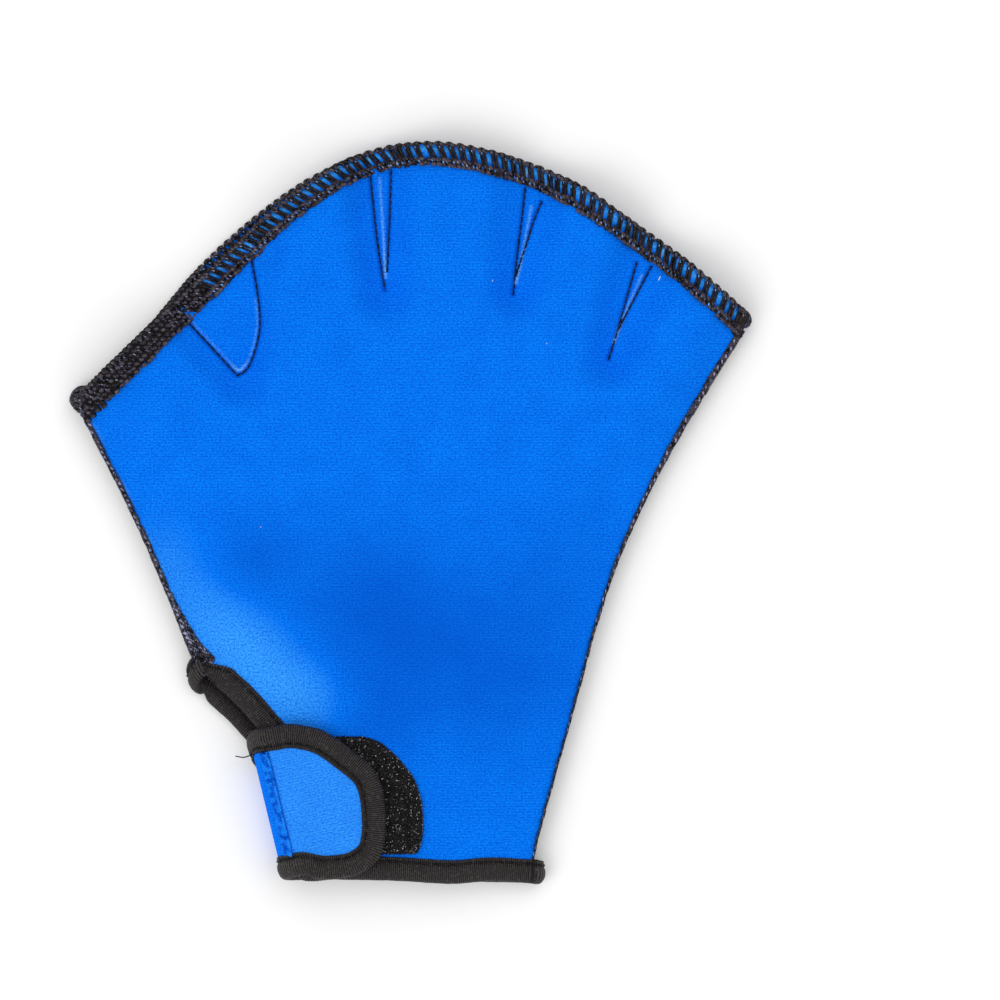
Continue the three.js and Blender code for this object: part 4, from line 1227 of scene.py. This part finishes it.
thumbBlack, thumbPale = seamThreads("thumbSeam", upperThumbSide, 51)
outerBlack, outerPale = seamThreads("outerSeam", outerChain[::-1], 71)
dress(thumbBlack, blackThread, ["thumb_side_seam"])
dress(outerBlack, blackThread, ["outer_side_seam"])
dress(thumbPale, greyThread)
dress(outerPale, greyThread)

# Knots where the finger edge's threads end: turns of thread wound round a lump
knots = {
    "thumbKnot": {"at": (1.9, 136.4), "radius": 4.0, "flat": 1.0, "turns": 38, "seed": 3},
    "outerKnot": {"at": (189.4, 158.7), "radius": 2.2, "flat": 1.5, "turns": 22, "seed": 8},
    "thread": 0.5,
}


def knotPaths(look):
    chance = np.random.default_rng(look["seed"])
    at = pointsOf([look["at"]])
    centre = (placeUpper(at)[0] + placeLower(at)[0]) / 2
    paths = []
    for k in range(look["turns"]):
        u = chance.normal(size=3)
        u /= np.linalg.norm(u)
        v = np.cross(u, chance.normal(size=3))
        v /= np.linalg.norm(v)
        reach = (look["radius"] - knots["thread"]) * chance.uniform(0.86, 1.02)
        t = np.linspace(0, chance.uniform(1.6, 3.2), 12)[:, None]
        arc = reach * (np.cos(t) * u + np.sin(t) * v)
        paths.append(centre + arc * np.array([1, 1, look["flat"]]))
    return paths


for name in ("thumbKnot", "outerKnot"):
    turns = knotPaths(knots[name])
    knot = threadPiece(name, turns, [knots["thread"]] * len(turns))
    dress(knot, blackThread)
print("side seams and knots made")

# Binding tape: one closed run round the upper wrist edge, the notch, the strap and the
# lower wrist edge, folded over the cloth. Its outside and inside are drawn for one face: in
# from the cloth's edge and up from the cloth's middle.
binding = {
    "width": 6,
    "fine": 0.6,
    "cornerSteps": 6,
    "pucker": 0.1,
    "outside": [
        (6, 1.3), (5.7, 1.52), (5.3, 1.5), (4.8, 1.3), (4.3, 1.52), (3.5, 1.98), (2.4, 2.14),
        (1.3, 2.0), (0.4, 1.66), (-0.2, 1.22), (-0.6, 0.68), (-0.75, 0),
    ],
    "inside": [(6, 1.1), (4, 1.08), (1, 1.06), (-0.1, 0.9), (-0.25, 0)],
    "stitchAt": 3,
    "stitch": 3.0,
    "stitchFrom": 0.4,
}


def bothFaces(rows):
    return rows + [(x, -z) for x, z in reversed(rows[:-1])]


across = bothFaces(binding["outside"])
profile = np.array(across + bothFaces(binding["inside"])[::-1])


def notchStations(chain, count):
    total = lengthsAlong(chain)[-1]
    return walk(chain, np.array([0, 3.0] + [total * k / count for k in range(2, count + 1)]))


def crossStations(chain, count):
    total = lengthsAlong(chain)[-1]
    middle = np.linspace(binding["width"], total - 2.4, count - 1)
    return walk(chain, np.concatenate([[0], middle, [total]]))


def sectionAt(place, point, inward, side):
    return place(point + inward * profile[:, 0], profile[:, 1] * side)


upperNotchPoints = notchStations(upperNotchChain, 10)
notchIn = normalsOf(upperNotchPoints, 1)
notchIn[:2] = unit(upperThumbSide[-20] - upperThumbSide[-1])
slitIn = normalsOf(np.array([slitTop, slitEnd]), 1)[0]
upperWristPoints = crossStations(upperWristChain, 26)
wristIn = normalsOf(upperWristPoints, 1)
slitTopIn = normalsOf(np.array([upperNotchPoints[-2], slitTop, (slitTop + slitEnd) / 2]), 1)[1]
slitEndIn = normalsOf(np.array([(slitTop + slitEnd) / 2, slitEnd, upperWristPoints[1]]), 1)[1]
upperRun = list(zip(upperNotchPoints[:-1], notchIn[:-1]))
upperRun.append((slitTop, slitTopIn))
upperRun += [(slitTop + (slitEnd - slitTop) * share, slitIn) for share in (0.2, 0.4, 0.6, 0.8)]
upperRun.append((slitEnd, slitEndIn))
upperRun += zip(upperWristPoints[2:], wristIn[2:])
upperTape = [sectionAt(placeUpper, p, n, 1) for p, n in upperRun][::-1]

lowerNotchPoints = notchStations(lowerNotchChain, 8)
lowerNotchIn = normalsOf(lowerNotchPoints, 1)
lowerNotchIn[0] = unit(lowerThumbSide[-20] - lowerThumbSide[-1])


def turnInward(share):
    return turnPoint(share, 1) - turnCentre


lowerRun = [(placeLower, p, n) for p, n in zip(lowerNotchPoints[:-1], lowerNotchIn[:-1])]
lowerRun += [(placeLower, turnPoint(s, fold["notchRadius"]), turnInward(s)) for s in (0, 0.25, 0.5)]
lowerRun.append((placeLower, (neckInner + foldStart) / 2, turnInward(0.75)))
lowerRun.append((placeLower, foldStart, turnInward(1)))
bendAt = [foldLength * k / 6 for k in range(1, 5)] + [neckReach, strapReach]
lowerRun += [(placeFolded, neckPoint(d, 0), 1j) for d in bendAt]
strapRun = np.concatenate([
    walkShares(strapUpper, np.arange(6) / 5), walkShares(strapTip, np.arange(1, 10) / 10),
    walkShares(strapLower, np.arange(5, -1, -1) / 5)])
strapIn = normalsOf(strapRun, 1)
strapIn[0], strapIn[-1] = 1j, -1j
lowerRun += [(placeFolded, p, n) for p, n in zip(strapRun, strapIn)]
lowerRun += [(placeFolded, neckPoint(d, 1), -1j) for d in reversed(bendAt)]
lowerWristPoints = crossStations(lowerWristChain, 26)
lowerWristIn = normalsOf(lowerWristPoints, 1)
lowerWristIn[0] = -foldDown
lowerWristIn[-1] = unit(walk(outerChain, lengthsAlong(outerChain)[-1] - 6) - outerChain[-1])
wristIn[-1] = lowerWristIn[-1]
lowerRun += [(placeLower, p, n) for p, n in zip(lowerWristPoints, lowerWristIn)]
lowerTape = [sectionAt(place, p, n, -1) for place, p, n in lowerRun]


# Round turn of the tape from one panel to the other at a corner
def turnSections(fromSection, toSection, outward):
    made = []
    for k in range(1, binding["cornerSteps"]):
        angle = math.pi * k / binding["cornerSteps"]
        middle = (fromSection + toSection) / 2
        half = (fromSection - toSection) / 2
        reach = np.abs(half[:, 2]) * math.sin(angle)
        out = np.stack([outward.real * reach, outward.imag * reach, 0 * reach], -1)
        made.append(middle + half * math.cos(angle) + out)
    return made


thumbOut = normalsOf(upperThumbSide, -1)[-1]
outerOut = normalsOf(outerChain, 1)[-1]
stations = np.array(
    upperTape + turnSections(upperTape[-1], lowerTape[0], thumbOut)
    + lowerTape + turnSections(lowerTape[-1], upperTape[0], outerOut))


# Smooth closed run through sections in space, with knots by their distance apart
def smoothRun(sections, step):
    count = len(sections)
    centres = sections.mean(1)
    made = []
    for i in range(count):
        four = [sections[(i + k) % count] for k in (-1, 0, 1, 2)]
        spots = [centres[(i + k) % count] for k in (-1, 0, 1, 2)]
        gaps = [max(np.linalg.norm(spots[k + 1] - spots[k]), 1e-3) ** 0.5 for k in range(3)]
        t0, t1, t2, t3 = 0, gaps[0], gaps[0] + gaps[1], sum(gaps)
        parts = max(1, round(gaps[1] ** 2 / step))
        for k in range(parts):
            t = t1 + (t2 - t1) * k / parts
            a1 = (four[0] * (t1 - t) + four[1] * (t - t0)) / (t1 - t0)
            a2 = (four[1] * (t2 - t) + four[2] * (t - t1)) / (t2 - t1)
            a3 = (four[2] * (t3 - t) + four[3] * (t - t2)) / (t3 - t2)
            b1 = (a1 * (t2 - t) + a2 * (t - t0)) / (t2 - t0)
            b2 = (a2 * (t3 - t) + a3 * (t - t1)) / (t3 - t1)
            made.append((b1 * (t2 - t) + b2 * (t - t1)) / (t2 - t1))
    return np.array(made)


run = smoothRun(stations, binding["fine"])
travel = travelAlong(run.mean(1))
outerCount = len(across)
forward = np.roll(run, -1, 0) - np.roll(run, 1, 0)
sideways = np.roll(run, -1, 1) - np.roll(run, 1, 1)
outwards = np.cross(forward, sideways)
outwards /= np.linalg.norm(outwards, axis=2)[:, :, None] + 1e-9
middles = run[:, :outerCount].mean(1)[:, None, :]
if ((run[:, 10] - middles[:, 0]) * outwards[:, 10]).sum(-1).mean() < 0:
    outwards = -outwards
ripple = np.cos(2 * np.pi * travel / binding["stitch"]) * 0.5
ripple += 0.6 * np.sin(2 * np.pi * travel / 7.3 + 1) + 0.4 * np.sin(2 * np.pi * travel / 4.7)
bulge = np.array([0.3 + 0.7 * float(1 < x < 5) for x, _ in profile[:outerCount]])
run[:, :outerCount] += (
    outwards[:, :outerCount] * (ripple[:, None] * bulge[None, :] * binding["pucker"])[:, :, None])

rings, size = run.shape[:2]
tapeFaces = []
for i in range(rings):
    for k in range(size):
        k2 = (k + 1) % size
        i2 = (i + 1) % rings
        tapeFaces.append((i * size + k, i * size + k2, i2 * size + k2, i2 * size + k))
tapePlans = np.stack([np.repeat(travel, size), np.tile(np.arange(size) * 0.5, rings)], -1)
wristTape = makeMesh("wristTape", run.reshape(-1, 3), tapeFaces, tapePlans)
dress(wristTape, tape, ["wrist_binding"])


# Sewing along the tape on both of its faces
def dashUnit(name, length, radius, lift):
    half = length / 2
    path = smoothPath([
        (-half, 0, -0.3), (-half * 0.75, 0, lift * 0.6), (0, 0, lift),
        (half * 0.75, 0, lift * 0.6), (half, 0, -0.3)], 3)
    return unitObject(name, [path], [radius])


def railPoints(index, pitch):
    line = np.append(run[:, index], run[:1, index], axis=0)
    normal = np.append(outwards[:, index], outwards[:1, index], axis=0)
    points, along, _ = alongLine(line, line + normal, pitch, binding["stitchFrom"])
    spots = binding["stitchFrom"] + pitch * np.arange(len(points))
    up = rowsAt(spots, travelAlong(line), normal)
    return points + up * 0.05, along, up


tapeDash = dashUnit("tapeDash", 2.3, 0.3, 0.2)
sides = [railPoints(index, binding["stitch"])
         for index in (binding["stitchAt"], outerCount - 1 - binding["stitchAt"])]
tapeStitches = setUnits(
    "tapeStitches",
    [(tapeDash, points, along, up, np.ones(points.shape)) for points, along, up in sides],
    tapeThread, 91)
dress(tapeStitches, tapeThread)
print("wrist tape made")

# Sewing of the darts and of the thumb's web, sunk into the cloth
dartDash = dashUnit("dartDash", 1.7, 0.25, 0.2)
dartUnits = []
for chain in sewn.values():
    line = placeUpper(chain, halfCloth)
    inner = placeUpper(chain + normalsOf(chain, -1), halfCloth)
    points, along, up = alongLine(line, inner, 2.1, 0.6)
    up = up * np.sign(up[:, 2:3])
    dartUnits.append((dartDash, points, along, up, np.ones(points.shape)))
dartStitches = setUnits("dartStitches", dartUnits, stitchThread, 111, 0.06, 0.12)
dress(dartStitches, stitchThread)

# Flat seam between the neck and the strap: two cords with a slanting thread between
strapSeam = {
    "half": 1.05, "pitch": 0.8, "raised": 0.3, "cords": [0.3, 0.36, 0.4], "inset": 6.3}
seamTop = neckPoint(seamMiddle, 0).imag + strapSeam["inset"]
seamLow = neckPoint(seamMiddle, 1).imag - strapSeam["inset"]
seamLine = seamMiddle + 1j * np.linspace(seamTop, seamLow, 60)
line = placeFolded(seamLine, -halfCloth - strapSeam["raised"])
inner = placeFolded(seamLine + 1, -halfCloth - strapSeam["raised"])
h, p = strapSeam["half"], strapSeam["pitch"]
seamUnit = unitObject("seamUnit", [
    smoothPath(path, 2) for path in (
        [(-0.1, -h, 0.1), (p * 0.5, -h * 0.9, 0.3), (p + 0.1, -h, 0.1)],
        [(-0.1, h, 0.1), (p * 0.5, h * 0.9, 0.34), (p + 0.1, h, 0.1)],
        [(0, -h, 0), (p * 0.6, -h * 0.3, 0.12), (p * 1.2, h * 0.4, 0.12), (p * 1.5, h, 0)])
], strapSeam["cords"])
points, along, up = alongLine(line, inner, p)
up = up * np.sign(up[:, 2:3])
seamThread = setUnits(
    "strapSeamThreads", [(seamUnit, points, along, up, np.ones(points.shape))], blueThread, 131)
dress(seamThread, blueThread, ["strap_seam"])
print("sewing made")

# Pile patch on the upper panel and hook tape under the strap, each a plate between two
# levels, with loops, glinting fibres or hooks strewn over it
patches = {
    "loopBottom": 10.7,
    "loopTop": 11.35,
    "hookBottom": 11.8,
    "hookTop": 12.5,
    "loopEdge": [
        (0.3909, 0.196), (0.425, 0.1955), (0.446, 0.19), (0.4614, 0.1805), (0.4804, 0.1635),
        (0.4985, 0.1425), (0.5085, 0.12), (0.5135, 0.0948), (0.5135, 0.068), (0.5095, 0.045),
    ],
    "loopUpper": 0.196,
    "corner": 0.5045,
    "clear": 6.5,
    "loops": 3000,
    "glints": 1500,
    "rimGlints": 0.75,
    "edgeStep": 0.42,
}
slitRun = unit(slitEnd - slitTop)
slitClear = slitTop + slitIn * patches["clear"]


def besideSlit(y):
    return slitClear + slitRun * (y - slitClear.imag) / slitRun.imag


loopLow = slitEnd.imag + patches["clear"]
loopCurve = smoothChain(plan(patches["loopEdge"]), 6)
loopCorners = np.concatenate([
    [besideSlit(patches["loopUpper"] * glove["length"])], loopCurve,
    [patches["corner"] * glove["width"] + 1j * loopLow, besideSlit(loopLow)]])
loopLoop = evenLoop([closed(loopCorners)], 0.7)


def plateBetween(low, high):
    def place(points, height=0.0):
        return spot(points, (low + high) / 2 + np.sign(height) * (high - low) / 2)
    return place


loopPlate = clothFrom(
    "loopPlate", fillLoop(loopLoop, 1.0),
    plateBetween(patches["loopBottom"], patches["loopTop"]), loopLoop, 0.3)
chance = np.random.default_rng(5)
tries = patches["loops"] * 2
strewn = chance.uniform(loopLoop.real.min(), loopLoop.real.max(), tries)
strewn = strewn + 1j * chance.uniform(loopLoop.imag.min(), loopLoop.imag.max(), tries)
turns = closed(loopLoop)
winding = np.zeros(len(strewn))
for a, b in zip(turns[:-1], turns[1:]):
    crosses = (a.imag <= strewn.imag) != (b.imag <= strewn.imag)
    slope = (b.real - a.real) / (b.imag - a.imag if b.imag != a.imag else 1e-9)
    winding += crosses & (strewn.real < a.real + slope * (strewn.imag - a.imag))
inside = strewn[(winding % 2 == 1) & (distanceTo(strewn, turns) > 0.5)][:patches["loops"]]


def hairUnit(name, path, steps, radius, facets):
    return unitObject(name, [smoothPath(path, steps)], [radius], facets)


loopUnit = hairUnit("loopUnit", [
    (-0.35, 0, -0.1), (-0.42, 0.1, 0.4), (0, 0.05, 0.72), (0.42, -0.1, 0.4), (0.3, 0, -0.1)],
    1, 0.085, 4)
stubUnit = hairUnit("stubUnit", [(-0.3, 0, -0.1), (-0.1, 0.05, 0.3), (0.3, 0, 0.1)], 2, 0.2, 5)


def strewnUnits(unitOf, places, level, low, high):
    angle = chance.uniform(0, 2 * np.pi, len(places))
    along = np.stack([np.cos(angle), np.sin(angle), 0 * angle], -1)
    up = np.stack([chance.normal(0, 0.3, len(places)), chance.normal(0, 0.3, len(places)),
                   np.ones(len(places))], -1)
    up /= np.linalg.norm(up, axis=1)[:, None]
    size = chance.uniform(low, high, len(places))
    return (unitOf, spot(places, level), along, up, np.stack([size, size, size], -1))


rim = evenLoop([closed(loopCorners)], patches["edgeStep"])
nearRim = np.exp(-distanceTo(inside, loopCurve) / 3.2)
nearLow = np.exp(-(inside.imag - loopLow) / 7)
keep = chance.random(len(inside)) < 0.22 + 0.7 * np.maximum(nearRim, 0.8 * nearLow)
glintAt = inside[keep][:patches["glints"]]
rimAt = evenLoop([loopCurve[20:]], 0.4)
glintAt = np.append(glintAt, rimAt[chance.random(len(rimAt)) < patches["rimGlints"]])
glintUnit = hairUnit("glintUnit", [
    (-0.22, 0, -0.05), (-0.1, 0.05, 0.2), (0.12, -0.03, 0.22), (0.24, 0, -0.05)], 1, 0.09, 4)
glints = setUnits("loopGlints", [
    strewnUnits(glintUnit, glintAt, patches["loopTop"] + 0.45, 0.4, 0.95)], glint, 161, 0.3, 0.2)
dress(glints, glint)
loops = setUnits("loopHairs", [
    strewnUnits(loopUnit, inside, patches["loopTop"] - 0.05, 0.7, 1.15),
    strewnUnits(stubUnit, rim, patches["loopTop"] - 0.25, 0.6, 1.0)], pile, 151, 0.25, 0.1)
loopPile = joined("loopPile", [loopPlate, loops])
dress(loopPile, pile, ["loop_patch"])

tipAt = walkShares(strapTip, np.linspace(0.3, 0.7, 9))
hookEnd = tipAt + normalsOf(tipAt, 1) * patches["clear"]
hookPlan = np.concatenate([
    [foldLength + 1j * hookEnd[0].imag], hookEnd, [foldLength + 1j * hookEnd[-1].imag]])
hookPlan = foldStart + foldDown * hookPlan.imag + foldAway * (foldLength - hookPlan.real)
hookLoop = evenLoop([closed(hookPlan)], 1.0)
hookFill = fillLoop(hookLoop, 1.4)
hookPlate = clothFrom(
    "hookPlate", hookFill, plateBetween(patches["hookBottom"] + 0.3, patches["hookTop"]),
    hookLoop, 0.2)
hookSpots = hookFill[0][distanceTo(hookFill[0], closed(hookLoop)) > 0.6]
hookUnit = hairUnit("hookUnit", [
    (0, 0, 0.2), (0, 0, -0.15), (0.15, 0, -0.3), (0.25, 0, -0.15)], 2, 0.08, 4)
hookHairs = setUnits("hookHairs", [
    strewnUnits(hookUnit, hookSpots, patches["hookBottom"] + 0.3, 0.9, 1.0)], hooks, 171)
hookTape = joined("hookTape", [hookPlate, hookHairs])
dress(hookTape, hooks, ["hook_patch"])
print("patches made")

# Loose ends: the thread at the notch, a small loop of thread near it, and bits of lint
ends = {
    "looseThread": [
        (45.4, 35.5, 11.6), (47.6, 35.2, 13.0), (49.8, 35.9, 15.2), (52.2, 36.7, 15.5),
        (55.0, 37.3, 14.4),
    ],
    "smallLoop": [
        (35.0, 62.9, 6.2), (33.6, 62.6, 6.9), (32.8, 61.6, 7.2), (32.9, 60.4, 7.2),
        (33.7, 59.8, 6.8), (34.6, 60.2, 6.2),
    ],
    "threadRadius": 0.17,
    "lint": [
        ((165.0, 170.1), (165.5, 171.3)), ((117.9, 169.7), (118.1, 170.1)),
        ((133.1, 152.0), (133.4, 152.2)), ((52.4, 100.2), (52.6, 100.4)),
    ],
    "lintRadii": [0.16, 0.12, 0.1, 0.1],
}
looseThread = threadPiece(
    "looseThread", [smoothPath(ends["looseThread"], 6), smoothPath(ends["smallLoop"], 5)],
    [ends["threadRadius"]] * 2)
dress(looseThread, stitchThread)
lintPaths = [smoothPath(placeUpper(pointsOf(pair), halfCloth + 0.08), 2) for pair in ends["lint"]]
lint = threadPiece("lint", lintPaths, ends["lintRadii"])
dress(lint, whiteLint)

# The units' own shapes have done their work
for shape in [o for o in bpy.data.objects if o.name.endswith(("Unit", "Dash"))]:
    bpy.data.objects.remove(shape)
print("loose ends made")

# Pale floor, soft light from above, camera straight above
studio = {
    "floor": "#fbfbfb",
    "world": 0.9,
    "key": 17.0,
    "keyFrom": (-1.5, -1.0, 2.1),
    "keySize": 1.6,
    "fill": 6,
    "fillFrom": (1.0, 1.2, 2.4),
    "viewMiddle": (24.6, 3.9),
    "viewWide": 284,
    "height": 2400,
}
floorMesh = bpy.data.meshes.new("floor")
floorMesh.from_pydata([(-3, -3, 0), (3, -3, 0), (3, 3, 0), (-3, 3, 0)], [], [(0, 1, 2, 3)])
floor = addObject("floor", floorMesh)
paper, _, paperShader = newMaterial("palePaper", 0.9, 0.1)
paperShader.inputs["Base Color"].default_value = colour(studio["floor"])
floorMesh.materials.append(paper)
world = bpy.data.worlds.new("softRoom")
world.use_nodes = True
backdrop = world.node_tree.nodes["Background"]
backdrop.inputs["Color"].default_value = (1, 1, 1, 1)
backdrop.inputs["Strength"].default_value = studio["world"]
bpy.context.scene.world = world
for name in ("key", "fill"):
    power, source = studio[name], studio[name + "From"]
    light = bpy.data.lights.new(name + "Panel", "AREA")
    light.energy = power
    light.size = studio["keySize"]
    lamp = addObject(name + "Panel", light)
    lamp.location = source
    lamp.rotation_mode = "QUATERNION"
    lamp.rotation_quaternion = (-Vector(source)).to_track_quat("-Z", "Y")
camera = addObject("camera", bpy.data.cameras.new("camera"))
camera.data.sensor_width = 36
camera.data.lens = 36 * studio["height"] / studio["viewWide"]
camera.data.clip_end = 10
camera.location = Vector((*studio["viewMiddle"], studio["height"])) * 0.001
bpy.context.scene.camera = camera
view = bpy.context.scene.view_settings
view.view_transform = "Standard"
view.look = "None"
